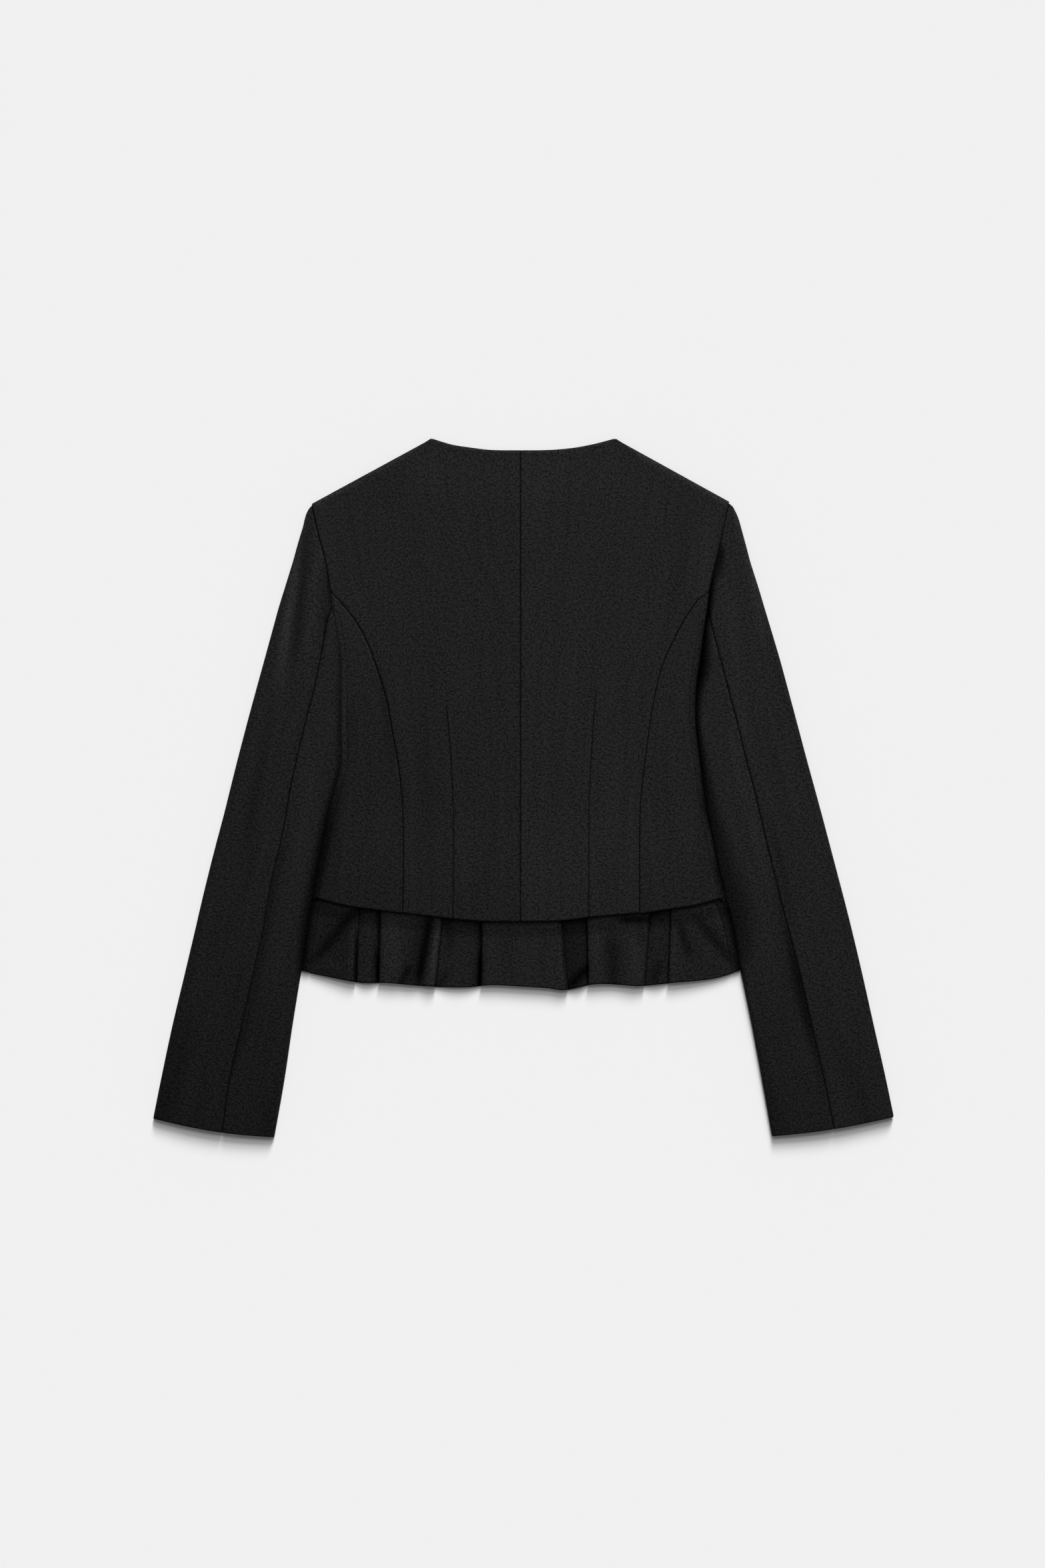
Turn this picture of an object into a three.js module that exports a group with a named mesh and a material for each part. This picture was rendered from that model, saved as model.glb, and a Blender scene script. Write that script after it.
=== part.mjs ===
// A short collarless jacket with a pleated peplum, laid flat on its front, with its back up.
//
// Lengths are in millimetres. While the pieces are laid out, "down" is measured from the nape, the
// middle of the back neckline, towards the cuffs, and "out" from the centre back towards a sleeve.
// In the model +X points to the right as seen from above, +Y towards the neck, and +Z up from the
// surface that the jacket lies on. The origin is under the middle of the whole outline.

import * as THREE from 'three';

// Cloth, and the room between two pieces.
const bodyWall = 1.4;
const sleeveWall = 1.4;
const peplumWall = 1.1;
const seamGap = 0.3;
const layerGap = 0.3;

// Levels down from the nape.
const princessTopDown = 136;
const underarmDown = 150;
const sideSeamTopDown = 153;
const sleeveSeamTopDown = 159;
const princessHemDown = 441;
const hemCentreDown = 449.5;
const frontNeckDepth = 95;
const peplumTuck = 10;

// Distances across. The fronts meet a little to the right of the centre back.
const hemHalfWidth = 194;
const peplumHalfWidth = 205;
const frontMeeting = 3;
const sideSeamInset = 5.5;
const peplumSeamInset = 8;
const peplumSideInset = 1.2;

// Heights of the middle of a wall above the surface.
const upperBodyHeight = 5;
const hemLift = 3.35;
const hemSideLift = 1.3;
const hemLiftLength = 110;
const hemFlatLength = 13;
const neckDroop = 2.8;
const neckDroopLength = 34;
const sleeveHeight = 5;
const sleeveCrown = 0.6;

// Where the fronts, and so the closed shoulder, lie on the surface, and the strip of a front beside
// its armhole, which has the rows of points that turn up round the side fold further down.
const frontHeight = bodyWall / 2;
const armholeStrip = 7.2;
const shoulderRoll = upperBodyHeight - bodyWall - layerGap;

// The dart in each back centre, as shares of the width of the piece.
const dartShare = 0.575;
const dartHalf = 0.011;
const dartDepth = 0.4;
const dartTaper = 40;

// Ends of the lines across a sleeve, the least room between its front seam and inner fold, and
// what is left of the room before a fold.
const headDrop = 1.5;
const headOuterDrop = 4.6;
const innerFoldRoom = 3.8;
const leastFoldReach = 0.2;

// Pleats of the back peplum, and heights of the two peplums.
const pleatUnderfold = 13;
const pleatTurn = (peplumWall + layerGap) / 2;
const underlayLift = 1.6;
const peplumTuckedBase = 3.1;
const peplumHemBase = 1.4;
const frontPeplumTuckedBase = 1.7;
const peplumSideLevel = 1.5;
const frontPeplumPeek = 0.6;

function table(columns, rows) {
  return rows.map((row) => Object.fromEntries(columns.map((name, i) => [name, row[i]])));
}

// A smooth curve through two columns of a table, carried straight on past its ends.
function curve(rows, from, to) {
  const points = rows.filter((row) => row[from] != null && row[to] != null);
  const at = points.map((row) => row[from]);
  const value = points.map((row) => row[to]);
  const last = at.length - 1;
  const slope = at.map((_, i) => {
    const before = Math.max(i - 1, 0);
    const after = Math.min(i + 1, last);
    return (value[after] - value[before]) / (at[after] - at[before]);
  });
  return (x) => {
    if (x <= at[0]) return value[0] + slope[0] * (x - at[0]);
    if (x >= at[last]) return value[last] + slope[last] * (x - at[last]);
    let i = 0;
    while (x > at[i + 1]) i += 1;
    const step = at[i + 1] - at[i];
    const t = (x - at[i]) / step;
    const rise = value[i + 1] - value[i];
    const bend = (1 - t) * (slope[i] * step - rise) + t * (rise - slope[i + 1] * step);
    return value[i] + t * rise + t * (1 - t) * bend;
  };
}

const clamp = (x, low, high) => Math.min(Math.max(x, low), high);
const mix = (a, b, t) => a + (b - a) * t;
const ease = (t) => {
  const s = clamp(t, 0, 1);
  return s * s * (3 - 2 * s);
};
const steps = (count) => Array.from({ length: count + 1 }, (_, i) => i / count);

// Distances out from the centre back, a row for each level down from the nape. "outer" is the
// outer edge of the sleeve, "seam" its back seam, and "inner" the armhole down to the underarm and
// from there the line where the sleeve lies against the body. A level without one of them is null.
const halfColumns = ['down', 'outer', 'seam', 'inner'];
const leftRows = table(halfColumns, [
  [54, 200.6, null, 198.7],
  [56, 202.2, null, 198.3],
  [58.6, 203.8, null, 197.8],
  [61.8, 205.2, null, 197.1],
  [66, 206.4, null, 196.2],
  [72.6, 207.9, null, 194.8],
  [80, 210.2, null, 193.0],
  [92, 213.7, null, 189.7],
  [105, 217.3, null, 186.3],
  [130, 225.0, null, 182.0],
  [150, 231.2, null, 179.8],
  [162, 234.5, 184.3, 177.4],
  [177, 238.6, 187.0, 175.2],
  [200, 244.9, 191.3, 172.0],
  [225, 251.8, 196.3, 171.4],
  [260, 261.3, 205.4, 171.4],
  [298, 271.2, 214.4, 171.6],
  [322, 277.2, 219.5, 176.8],
  [347, 283.4, 223.9, 183.5],
  [376, 291.1, 229.3, 189.8],
  [403, 298.0, 236.2, 195.0],
  [428, 304.1, 241.2, 199.4],
  [459, 311.3, 246.2, 204.5],
  [497, 320.3, 254.8, 209.5],
  [550, 332.9, 266.5, 217.9],
  [600, 343.5, 277.6, 225.3],
  [655, 354.5, 285.5, 235.0],
]);
const rightRows = table(halfColumns, [
  [51, 201.4, null, 199.4],
  [54, 203.7, null, 198.6],
  [56, 204.9, null, 198.1],
  [58.6, 206.3, null, 197.5],
  [61.8, 207.8, null, 196.8],
  [66, 209.4, null, 195.9],
  [80, 213.3, null, 193.0],
  [92, 216.6, null, 190.3],
  [105, 220.0, null, 187.0],
  [130, 227.9, null, 181.4],
  [150, 233.9, null, 178.9],
  [162, 237.5, 181.8, 176.9],
  [177, 242.0, 185.6, 175.0],
  [200, 248.8, 191.7, 171.8],
  [225, 255.6, 198.1, 168.3],
  [260, 265.0, 207.4, 167.7],
  [298, 275.1, 216.6, 172.0],
  [322, 281.7, 223.2, 175.1],
  [347, 288.5, 229.1, 179.0],
  [376, 296.2, 235.9, 185.0],
  [403, 303.3, 242.3, 190.4],
  [428, 309.9, 248.6, 197.0],
  [459, 317.7, 256.9, 204.3],
  [497, 326.7, 266.9, 211.0],
  [550, 338.6, 278.8, 221.7],
  [600, 349.9, 290.3, 231.0],
  [655, 361.3, 301.5, 240.8],
]);

// The princess seam, from the armhole to the bodice hem.
const seamColumns = ['down', 'out'];
const leftPrincess = table(seamColumns, [
  [136, 180.4],
  [142, 174.2],
  [150, 167.4],
  [162, 158.0],
  [180, 147.7],
  [206, 137.7],
  [237, 128.0],
  [268, 122.2],
  [304, 115.9],
  [336, 112.7],
  [370, 111.5],
  [404, 111.5],
  [441, 112.1],
]);
const rightPrincess = table(seamColumns, [
  [136, 179.6],
  [142, 171.0],
  [150, 164.7],
  [162, 156.8],
  [180, 147.2],
  [206, 135.6],
  [237, 128.0],
  [268, 123.0],
  [304, 118.3],
  [336, 114.9],
  [370, 114.0],
  [404, 114.0],
  [441, 114.0],
]);

// Edges that cross the back, read from left to right; x is negative on the left.
const edgeColumns = ['x', 'down'];
const neckline = curve(table(edgeColumns, [
  [-85.5, -12.0],
  [-82.8, -11.4],
  [-74.5, -8.8],
  [-63.7, -5.8],
  [-47.8, -3.4],
  [-28.7, -1.2],
  [0, -0.9],
  [28.7, -1.2],
  [51.6, -3.2],
  [70.1, -6.6],
  [77.7, -8.5],
  [91, -12.1],
]), 'x', 'down');
const bodiceHem = curve(table(edgeColumns, [
  [-199, 426],
  [-174, 433],
  [-153, 436.5],
  [-112, 441.4],
  [-64, 447],
  [-35, 449.3],
  [0, hemCentreDown],
  [38, 449],
  [66, 446],
  [89, 444],
  [114, 442],
  [146, 437.6],
  [171, 434.2],
  [199, 427],
]), 'x', 'down');
const peplumHem = curve(table(edgeColumns, [
  [-210, 496.6],
  [-178, 503.4],
  [-152, 508],
  [-128, 508],
  [-110, 509.6],
  [-84, 511.6],
  [-50, 512.1],
  [-28, 510],
  [0, 511.4],
  [28, 513.2],
  [40, 515.2],
  [52, 513.4],
  [66, 510],
  [80, 509],
  [103, 510.4],
  [112, 511.2],
  [143, 508.3],
  [185, 503.9],
  [212, 496],
]), 'x', 'down');

// Fold edges of the four inverted pleats: x at the bodice hem and at the peplum hem.
const pleats = table(['leftTop', 'leftHem', 'rightTop', 'rightHem'], [
  [-154.2, -156.5, -132.5, -135.0],
  [-73.9, -82.2, -35.7, -37.6],
  [37.6, 45.2, 64.3, 65.0],
  [124.2, 117.2, 145.2, 142.0],
]);

const left = {
  name: 'left',
  sign: -1,
  outer: curve(leftRows, 'down', 'outer'),
  seam: curve(leftRows, 'down', 'seam'),
  inner: curve(leftRows, 'down', 'inner'),
  princess: curve(leftPrincess, 'down', 'out'),
  neckPointOut: 85.5,
  neckPointDown: -12,
  shoulderDown: 50.4,
  dartTipDown: 240,
  cuff: { innerDown: 656, outerDown: 638, bow: 3.2 },
};
const right = {
  name: 'right',
  sign: 1,
  outer: curve(rightRows, 'down', 'outer'),
  seam: curve(rightRows, 'down', 'seam'),
  inner: curve(rightRows, 'down', 'inner'),
  princess: curve(rightPrincess, 'down', 'out'),
  neckPointOut: 91,
  neckPointDown: -12.1,
  shoulderDown: 48.4,
  dartTipDown: 227,
  cuff: { innerDown: 655, outerDown: 636.5, bow: 2.4 },
};

function bodyEdge(side, down) {
  return side.inner(down) - seamGap / 2;
}

function sleeveEdge(side, down) {
  return side.inner(down) + seamGap / 2;
}

function centreOut(side) {
  return seamGap / 2 + side.sign * frontMeeting;
}

function shoulderOut(side) {
  return side.inner(side.shoulderDown);
}

// Level of the top edge of the back: the neckline, and from the neck point out the shoulder.
function topEdge(side, out) {
  if (out <= side.neckPointOut) return neckline(side.sign * out);
  const along = (out - side.neckPointOut) / (shoulderOut(side) - side.neckPointOut);
  return mix(side.neckPointDown, side.shoulderDown, along);
}

function shoulderSlope(side) {
  const run = shoulderOut(side) - side.neckPointOut;
  return Math.atan2(side.shoulderDown - side.neckPointDown, run);
}

// How far the back's cloth has come down where it turns over the shoulder, and where the neckline
// sinks towards the surface.
function topDrop(side, out, down) {
  const below = down - topEdge(side, out);
  const fromShoulder = clamp(below * Math.cos(shoulderSlope(side)), 0, shoulderRoll);
  const rolled = shoulderRoll - Math.sqrt(shoulderRoll ** 2 - (shoulderRoll - fromShoulder) ** 2);
  const atShoulder = ease((out - side.neckPointOut + 8) / 16);
  const sunk = neckDroop * (1 - ease(below / neckDroopLength)) * (1 - ease((out - side.neckPointOut) / 24));
  return Math.min(Math.max(rolled * atShoulder, sunk), shoulderRoll);
}

// Height of the middle of the back's wall. It climbs towards the hem, which lies on the peplum.
function backHeight(side, out, down) {
  const hem = bodiceHem(side.sign * out);
  const lifted = mix(hemLift, hemSideLift, ease((out - 150) / 38));
  const rise = lifted * ease((down - hem + hemLiftLength) / (hemLiftLength - hemFlatLength));
  return upperBodyHeight + rise - topDrop(side, out, down);
}

function place(side, out, down, height) {
  return new THREE.Vector3(side.sign * out, -down, height);
}

// A piece of cloth as a closed wall: the grid holds rows of points in the middle of the wall, and
// the wall reaches half its thickness to each side of them.
function clothWall(grid, thickness) {
  const rowCount = grid.length;
  const columnCount = grid[0].length;
  const positions = [[], []];
  for (let r = 0; r < rowCount; r += 1) {
    for (let c = 0; c < columnCount; c += 1) {
      const across = grid[r][Math.min(c + 1, columnCount - 1)].clone().sub(grid[r][Math.max(c - 1, 0)]);
      const along = grid[Math.min(r + 1, rowCount - 1)][c].clone().sub(grid[Math.max(r - 1, 0)][c]);
      const half = across.cross(along).setLength(thickness / 2);
      positions[0].push(grid[r][c].clone().add(half));
      positions[1].push(grid[r][c].clone().sub(half));
    }
  }
  const layerSize = rowCount * columnCount;
  const corner = (layer, r, c) => layer * layerSize + r * columnCount + c;
  const index = [];
  const quad = (a, b, c, d) => index.push(a, b, c, a, c, d);
  for (let r = 0; r < rowCount - 1; r += 1) {
    for (let c = 0; c < columnCount - 1; c += 1) {
      quad(corner(0, r, c), corner(0, r, c + 1), corner(0, r + 1, c + 1), corner(0, r + 1, c));
      index.push(corner(1, r, c), corner(1, r + 1, c + 1), corner(1, r, c + 1));
      index.push(corner(1, r, c), corner(1, r + 1, c), corner(1, r + 1, c + 1));
    }
  }
  for (let r = 0; r < rowCount - 1; r += 1) {
    const last = columnCount - 1;
    quad(corner(0, r, 0), corner(0, r + 1, 0), corner(1, r + 1, 0), corner(1, r, 0));
    quad(corner(0, r + 1, last), corner(0, r, last), corner(1, r, last), corner(1, r + 1, last));
  }
  for (let c = 0; c < columnCount - 1; c += 1) {
    const last = rowCount - 1;
    quad(corner(0, 0, c + 1), corner(0, 0, c), corner(1, 0, c), corner(1, 0, c + 1));
    quad(corner(0, last, c), corner(0, last, c + 1), corner(1, last, c + 1), corner(1, last, c));
  }
  return facingOut(positions.flat(), index);
}

// A geometry whose faces point out, whichever way round its grid was laid.
function facingOut(points, index) {
  let volume = 0;
  for (let i = 0; i < index.length; i += 3) {
    const [a, b, c] = [points[index[i]], points[index[i + 1]], points[index[i + 2]]];
    volume += a.dot(b.clone().cross(c));
  }
  const order = volume < 0 ? index.toReversed() : index;
  const geometry = new THREE.BufferGeometry();
  geometry.setAttribute('position', new THREE.Float32BufferAttribute(points.flatMap((p) => [...p]), 3));
  geometry.setIndex(order);
  geometry.computeVertexNormals();
  return geometry;
}

const blackWool = { color: 0x1f1f20, roughness: 0.92, metalness: 0 };
const jacket = new THREE.Group();

function addPiece(name, grid, thickness) {
  const mesh = new THREE.Mesh(clothWall(grid, thickness), new THREE.MeshStandardMaterial(blackWool));
  mesh.name = name;
  jacket.add(mesh);
}

// Levels of the rows of the back below the shoulder end, along the armhole, and along the
// princess seam.
const shoulderSteps = [0, 0.3, 1.1, 2.6, 5, 9];
const armholeLevels = [66, 80, 105, 130];
const princessLevels = [162, 180, 206, 237, 268, 304, 336, 370, 404, 418, 430, princessHemDown];

function hemShare(side, level) {
  return (level - side.shoulderDown) / (princessHemDown - side.shoulderDown);
}

// The back centre runs from the centre-back seam to the armhole and the princess seam. Its columns
// keep their share of the width all the way down, and three of them pinch the dart.
function backCentre(side) {
  const shoulderWidth = shoulderOut(side);
  const hemWidth = side.princess(princessHemDown);
  const neckShare = side.neckPointOut / shoulderWidth;
  const columns = [
    0, 0.14, 0.28, neckShare - 0.04, neckShare, neckShare + 0.04,
    dartShare - dartHalf, dartShare, dartShare + dartHalf, 0.68, 0.79, 0.9, 1,
  ];
  const shoulderLevels = shoulderSteps.map((step) => side.shoulderDown + step);
  const levels = [...shoulderLevels, ...armholeLevels, princessTopDown, 142, 150, ...princessLevels];
  const grid = levels.map((level) => {
    const edge = level < princessTopDown ? side.inner(level) : side.princess(level);
    const share = hemShare(side, level);
    const downAt = (u) => {
      const turned = u > neckShare ? bodyWall / 2 : 0;
      const top = topEdge(side, u * shoulderWidth) + turned;
      return mix(top, bodiceHem(side.sign * u * hemWidth), share);
    };
    return columns.map((u) => {
      const out = mix(seamGap / 2, edge - seamGap / 2, u);
      const down = downAt(u) + u * (level - downAt(1));
      const pinch = u === dartShare ? dartDepth * ease((down - side.dartTipDown) / dartTaper) : 0;
      return place(side, out, down, backHeight(side, out, down) - pinch);
    });
  });
  addPiece(`back_centre_${side.name}`, grid, bodyWall);
}

// The level where the row of the back side that starts at "level" meets the side seam.
function sideSeamLevel(side, level) {
  const rise = bodiceHem(side.sign * hemHalfWidth) - princessHemDown;
  return level + rise * hemShare(side, level) ** 2;
}

// The back side lies between the princess seam and the side seam, with the foot of the armhole
// above it.
function backSide(side) {
  const columns = steps(5);
  const hemFrom = side.princess(princessHemDown);
  const grid = [139.5, 142, 149.5, 152, ...princessLevels].map((level) => {
    const share = hemShare(side, level) ** 2;
    const outerLevel = sideSeamLevel(side, level);
    const from = side.princess(level) + seamGap / 2;
    const inset = outerLevel <= underarmDown ? 0 : sideSeamInset + seamGap;
    const to = bodyEdge(side, outerLevel) - inset;
    return columns.map((u) => {
      const hem = bodiceHem(side.sign * mix(hemFrom, hemHalfWidth, u));
      const down = level + (hem - mix(bodiceHem(side.sign * hemFrom), princessHemDown, 1 - u)) * share;
      const out = mix(from, to, u);
      return place(side, out, u === 1 ? outerLevel : down, backHeight(side, out, down));
    });
  });
  addPiece(`back_side_${side.name}`, grid, bodyWall);
}

// A run of points across one level that turns over a rolled edge: along the upper layer from
// "seam" to the fold, round it, and back along the lower layer to "end". Where there is little
// room before the fold, the roll is flattened.
function foldedRun(seam, edge, end, upper, lower, wall, runs) {
  const radius = (upper - lower) / 2;
  const way = Math.sign(edge - end);
  const reach = Math.min(radius, Math.abs(edge - seam) - wall / 2 - leastFoldReach);
  const turn = edge - way * (reach + wall / 2);
  const points = [];
  for (const t of steps(runs.upper)) points.push([mix(seam, turn, t), upper]);
  for (const t of steps(runs.fold).slice(1)) {
    const angle = Math.PI * t;
    points.push([turn + way * reach * Math.sin(angle), lower + radius * (1 + Math.cos(angle))]);
  }
  for (const t of steps(runs.lower).slice(1)) points.push([mix(turn, end, t), lower]);
  return points;
}

// Level of the front neckline, which hangs lower than the back's.
function frontNeckline(side, out) {
  const reach = clamp(out / side.neckPointOut, 0, 1);
  return frontNeckDepth - (frontNeckDepth - side.neckPointDown) * (1 - Math.sqrt(1 - reach ** 2.2));
}

// A front lies on the surface under the back, turns up round the side fold and meets the back side
// at the side seam. Above the underarm it ends at the front armhole.
function front(side) {
  const runs = { upper: 2, fold: 6, lower: 9 };
  const firstFlat = runs.upper + runs.fold;
  const shoulderWidth = shoulderOut(side) - seamGap;
  const shoulderLevels = [side.shoulderDown, side.shoulderDown + 4];
  const sideLevels = [sideSeamTopDown, ...princessLevels.map((level) => sideSeamLevel(side, level))];
  const sideHemDown = sideLevels.at(-1);
  const grid = [...shoulderLevels, ...armholeLevels, 142, 149.5, ...sideLevels].map((level) => {
    const share = (level - side.shoulderDown) / (sideHemDown - side.shoulderDown);
    let run;
    if (level < sideSeamTopDown) {
      const edge = side.inner(level) - seamGap / 2;
      const nearEdge = steps(firstFlat).map((t) => edge - armholeStrip * t);
      const rest = steps(runs.lower).slice(1).map((t) => mix(nearEdge.at(-1), centreOut(side), t));
      run = [...nearEdge, ...rest].map((out) => [out, frontHeight]);
    } else {
      const edge = bodyEdge(side, level);
      const upper = backHeight(side, edge - sideSeamInset, level);
      run = foldedRun(edge - sideSeamInset, edge, centreOut(side), upper, frontHeight, bodyWall, runs);
    }
    return run.map(([out, height], i) => {
      if (i <= firstFlat) return place(side, out, level, height);
      const u = 1 - (i - firstFlat) / runs.lower;
      const topOut = u * shoulderWidth;
      const onShoulder = topOut > side.neckPointOut;
      const top = onShoulder ? topEdge(side, topOut) + layerGap : frontNeckline(side, topOut);
      return place(side, out, mix(top, bodiceHem(side.sign * u * hemHalfWidth), share), height);
    });
  });
  addPiece(`front_${side.name}`, grid, bodyWall);
}

// Where the line across a sleeve at "share" of its length ends, at the armhole or inner fold and
// at the outer fold, and where its back seam is.
function acrossSleeve(side, innerDown) {
  const topDown = side.shoulderDown + headDrop;
  const share = (innerDown - topDown) / (side.cuff.innerDown - topDown);
  const outerDown = mix(side.shoulderDown + headOuterDrop, side.cuff.outerDown, share);
  const inner = sleeveEdge(side, innerDown);
  const outer = side.outer(outerDown);
  const bow = side.cuff.bow * ease(share * 1.2 - 0.2);
  const downAt = (out) => {
    const t = (out - inner) / (outer - inner);
    return mix(innerDown, outerDown, t) + bow * Math.sin(Math.PI * clamp(t, 0, 1));
  };
  let seam = side.seam(innerDown);
  for (let pass = 0; pass < 4; pass += 1) seam = side.seam(downAt(seam));
  const heightAt = (out) => {
    const t = clamp((out - inner) / (outer - inner), 0, 1);
    return sleeveHeight + sleeveCrown * Math.sin(Math.PI * t) * ease((innerDown - 60) / 60);
  };
  const frontSeam = inner + Math.max(0.5 * (seam - inner), innerFoldRoom);
  return { inner, outer, seam, frontSeam, downAt, heightAt };
}

function sleevePoints(side, line, run) {
  return run.map(([out, height, crowned]) => {
    const lifted = crowned ? line.heightAt(out) : height;
    return place(side, out, line.downAt(out), lifted);
  });
}

// Levels along the inner edge of a sleeve: below the shoulder end, then down to the cuff.
const headSteps = [headDrop, headDrop + 1.2, headDrop + 3.4, 8];
const sleeveLevels = [
  66, 80, 105, 130, 142, 150, 158, sleeveSeamTopDown, 163, 177, 200, 230, 262, 298,
  322, 347, 376, 403, 430, 475, 530, 590,
];

// The top sleeve goes from the armhole and the back seam over the outer fold, and back along the
// surface to the front armhole and the front seam.
function topSleeve(side) {
  const runs = { upper: 4, fold: 6, lower: 3 };
  const headLevels = headSteps.map((step) => side.shoulderDown + step);
  const grid = [...headLevels, ...sleeveLevels, side.cuff.innerDown].map((level) => {
    const line = acrossSleeve(side, level);
    const below = level >= sleeveSeamTopDown;
    const seam = below ? line.seam + seamGap / 2 : line.inner;
    const frontSeam = below ? line.frontSeam + seamGap / 2 : line.inner;
    const run = foldedRun(seam, line.outer, frontSeam, sleeveHeight, sleeveWall / 2, sleeveWall, runs);
    return sleevePoints(side, line, run.map(([out, height], i) => [out, height, i <= runs.upper]));
  });
  addPiece(`sleeve_top_${side.name}`, grid, sleeveWall);
}

// The under sleeve goes from the back seam over the inner fold and back to the front seam.
function underSleeve(side) {
  const runs = { upper: 3, fold: 6, lower: 2 };
  const levels = sleeveLevels.filter((level) => level >= sleeveSeamTopDown);
  const grid = [...levels, side.cuff.innerDown].map((level) => {
    const line = acrossSleeve(side, level);
    const seam = line.seam - seamGap / 2;
    const frontSeam = line.frontSeam - seamGap / 2;
    const run = foldedRun(seam, line.inner, frontSeam, sleeveHeight, sleeveWall / 2, sleeveWall, runs);
    return sleevePoints(side, line, run.map(([out, height], i) => [out, height, i <= runs.upper]));
  });
  addPiece(`sleeve_under_${side.name}`, grid, sleeveWall);
}

// Shares of the way from the tucked top edge of the peplum to its hem.
const peplumRows = [0, 0.13, 0.2, 0.3, 0.42, 0.6, 0.8, 1];

function peplumDown(x, share) {
  return mix(bodiceHem(x) - peplumTuck, peplumHem(x), share);
}

// Where the peplum's side fold is: inside the bodice's fold while it is tucked, and below the
// bodice hem as far out as the body.
function peplumEdge(side, down) {
  const tucked = 1 - ease((down - bodiceHem(side.sign * hemHalfWidth) - 2) / 12);
  return bodyEdge(side, down) - tucked * (bodyWall + peplumSideInset);
}

function belowBodice(x, down) {
  return ease((down - bodiceHem(x) - 2) / 15);
}

function peplumSideHeight(x, down) {
  return mix(peplumTuckedBase, peplumHemBase, belowBodice(x, down)) + peplumSideLevel;
}

// Half a turn of the strip at a fold, from one layer up to the next. "way" is 1 where the fold
// faces right and -1 where it faces left.
function pleatFold(x, low, way) {
  return steps(4).map((t) => [
    x + way * pleatTurn * (Math.sin(Math.PI * t) - 1),
    pleatLevel(low) + pleatTurn * (1 - Math.cos(Math.PI * t)),
  ]);
}

function pleatLevel(layer) {
  return peplumWall / 2 + layer * 2 * pleatTurn;
}

// A panel of the strip, between two pleats or between a pleat and a side seam.
function peplumPanel(from, to, fromLevel, toLevel) {
  return steps(3).map((t) => [mix(from, to, t), mix(fromLevel, toLevel, ease(t))]);
}

// The back peplum is one strip. At each inverted pleat the cloth turns back under the left panel,
// runs across as the underlay, and turns back under the right panel. The underlay stands up a
// little between the two.
function backPeplum() {
  const grid = peplumRows.map((share) => {
    const [start, end] = [left, right].map((side) => {
      const down = peplumDown(side.sign * peplumHalfWidth, share);
      return side.sign * (peplumEdge(side, down) - peplumSeamInset - seamGap / 2);
    });
    const points = [];
    let from = start;
    let fromLevel = peplumSideLevel;
    for (const pleat of pleats) {
      const foldLeft = mix(pleat.leftTop, pleat.leftHem, share);
      const foldRight = mix(pleat.rightTop, pleat.rightHem, share);
      points.push(...peplumPanel(from, foldLeft - 2 * pleatTurn, fromLevel, pleatLevel(2)));
      points.push(...pleatFold(foldLeft, 1, 1).toReversed().slice(1));
      points.push(...pleatFold(foldLeft - pleatUnderfold, 0, -1).toReversed());
      points.push([foldLeft + pleatTurn, pleatLevel(0)]);
      points.push([mix(foldLeft, foldRight, 0.5), pleatLevel(0) + underlayLift]);
      points.push([foldRight - pleatTurn, pleatLevel(0)]);
      points.push(...pleatFold(foldRight + pleatUnderfold, 0, 1));
      points.push(...pleatFold(foldRight, 1, -1));
      from = foldRight + 2 * pleatTurn;
      fromLevel = pleatLevel(2);
    }
    points.push(...peplumPanel(from, end, fromLevel, peplumSideLevel));
    return points.map(([x, height]) => {
      const down = peplumDown(x, share);
      const base = mix(peplumTuckedBase, peplumHemBase, belowBodice(x, down));
      return new THREE.Vector3(x, -down, base + height);
    });
  });
  addPiece('peplum_back', grid, peplumWall);
}

// A front peplum is sewn inside the front's hem and lies on the surface below it. It turns up
// round the side fold and meets the back peplum on the upper side.
function frontPeplum(side) {
  const runs = { upper: 2, fold: 6, lower: 6 };
  const grid = peplumRows.map((share) => {
    const edgeDown = peplumDown(side.sign * peplumHalfWidth, share);
    const edge = peplumEdge(side, edgeDown);
    const lowerAt = (x, down) => {
      return mix(frontPeplumTuckedBase, 0, belowBodice(x, down)) + peplumWall / 2;
    };
    const lower = lowerAt(side.sign * edge, edgeDown);
    const upper = peplumSideHeight(side.sign * edge, edgeDown);
    const run = foldedRun(edge - peplumSeamInset, edge, centreOut(side), upper, lower, peplumWall, runs);
    return run.map(([out, height], i) => {
      const x = side.sign * out;
      if (i <= runs.upper + runs.fold) return place(side, out, peplumDown(x, share), height);
      const down = peplumDown(x, share) + frontPeplumPeek * share;
      return place(side, out, down, lowerAt(x, down));
    });
  });
  addPiece(`peplum_front_${side.name}`, grid, peplumWall);
}

for (const side of [left, right]) {
  backCentre(side);
  backSide(side);
  front(side);
  topSleeve(side);
  underSleeve(side);
  frontPeplum(side);
}
backPeplum();

// Move the origin under the middle of the outline.
const bounds = new THREE.Box3().setFromObject(jacket);
const middle = bounds.getCenter(new THREE.Vector3());
jacket.position.set(-middle.x, -middle.y, -bounds.min.z);

export default jacket;
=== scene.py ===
# %% [markdown]
# # A short black wool jacket, laid flat with its back up
# The real one is a collarless jacket of black wool twill with a pleated strip, a peplum, sewn
# under its hem. It lies on its front on a pale floor and is seen from straight above. Cloth this
# black shows little but its edges: seams, folds, the soft roll of a sleeve and the grain of the
# wool. So the shapes are laid out exactly, and the light comes in low from beyond the neck.
#
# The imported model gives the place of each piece. Here each one is made again as a fine cloth
# shell that follows the same lines.

import math
from types import SimpleNamespace

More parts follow.
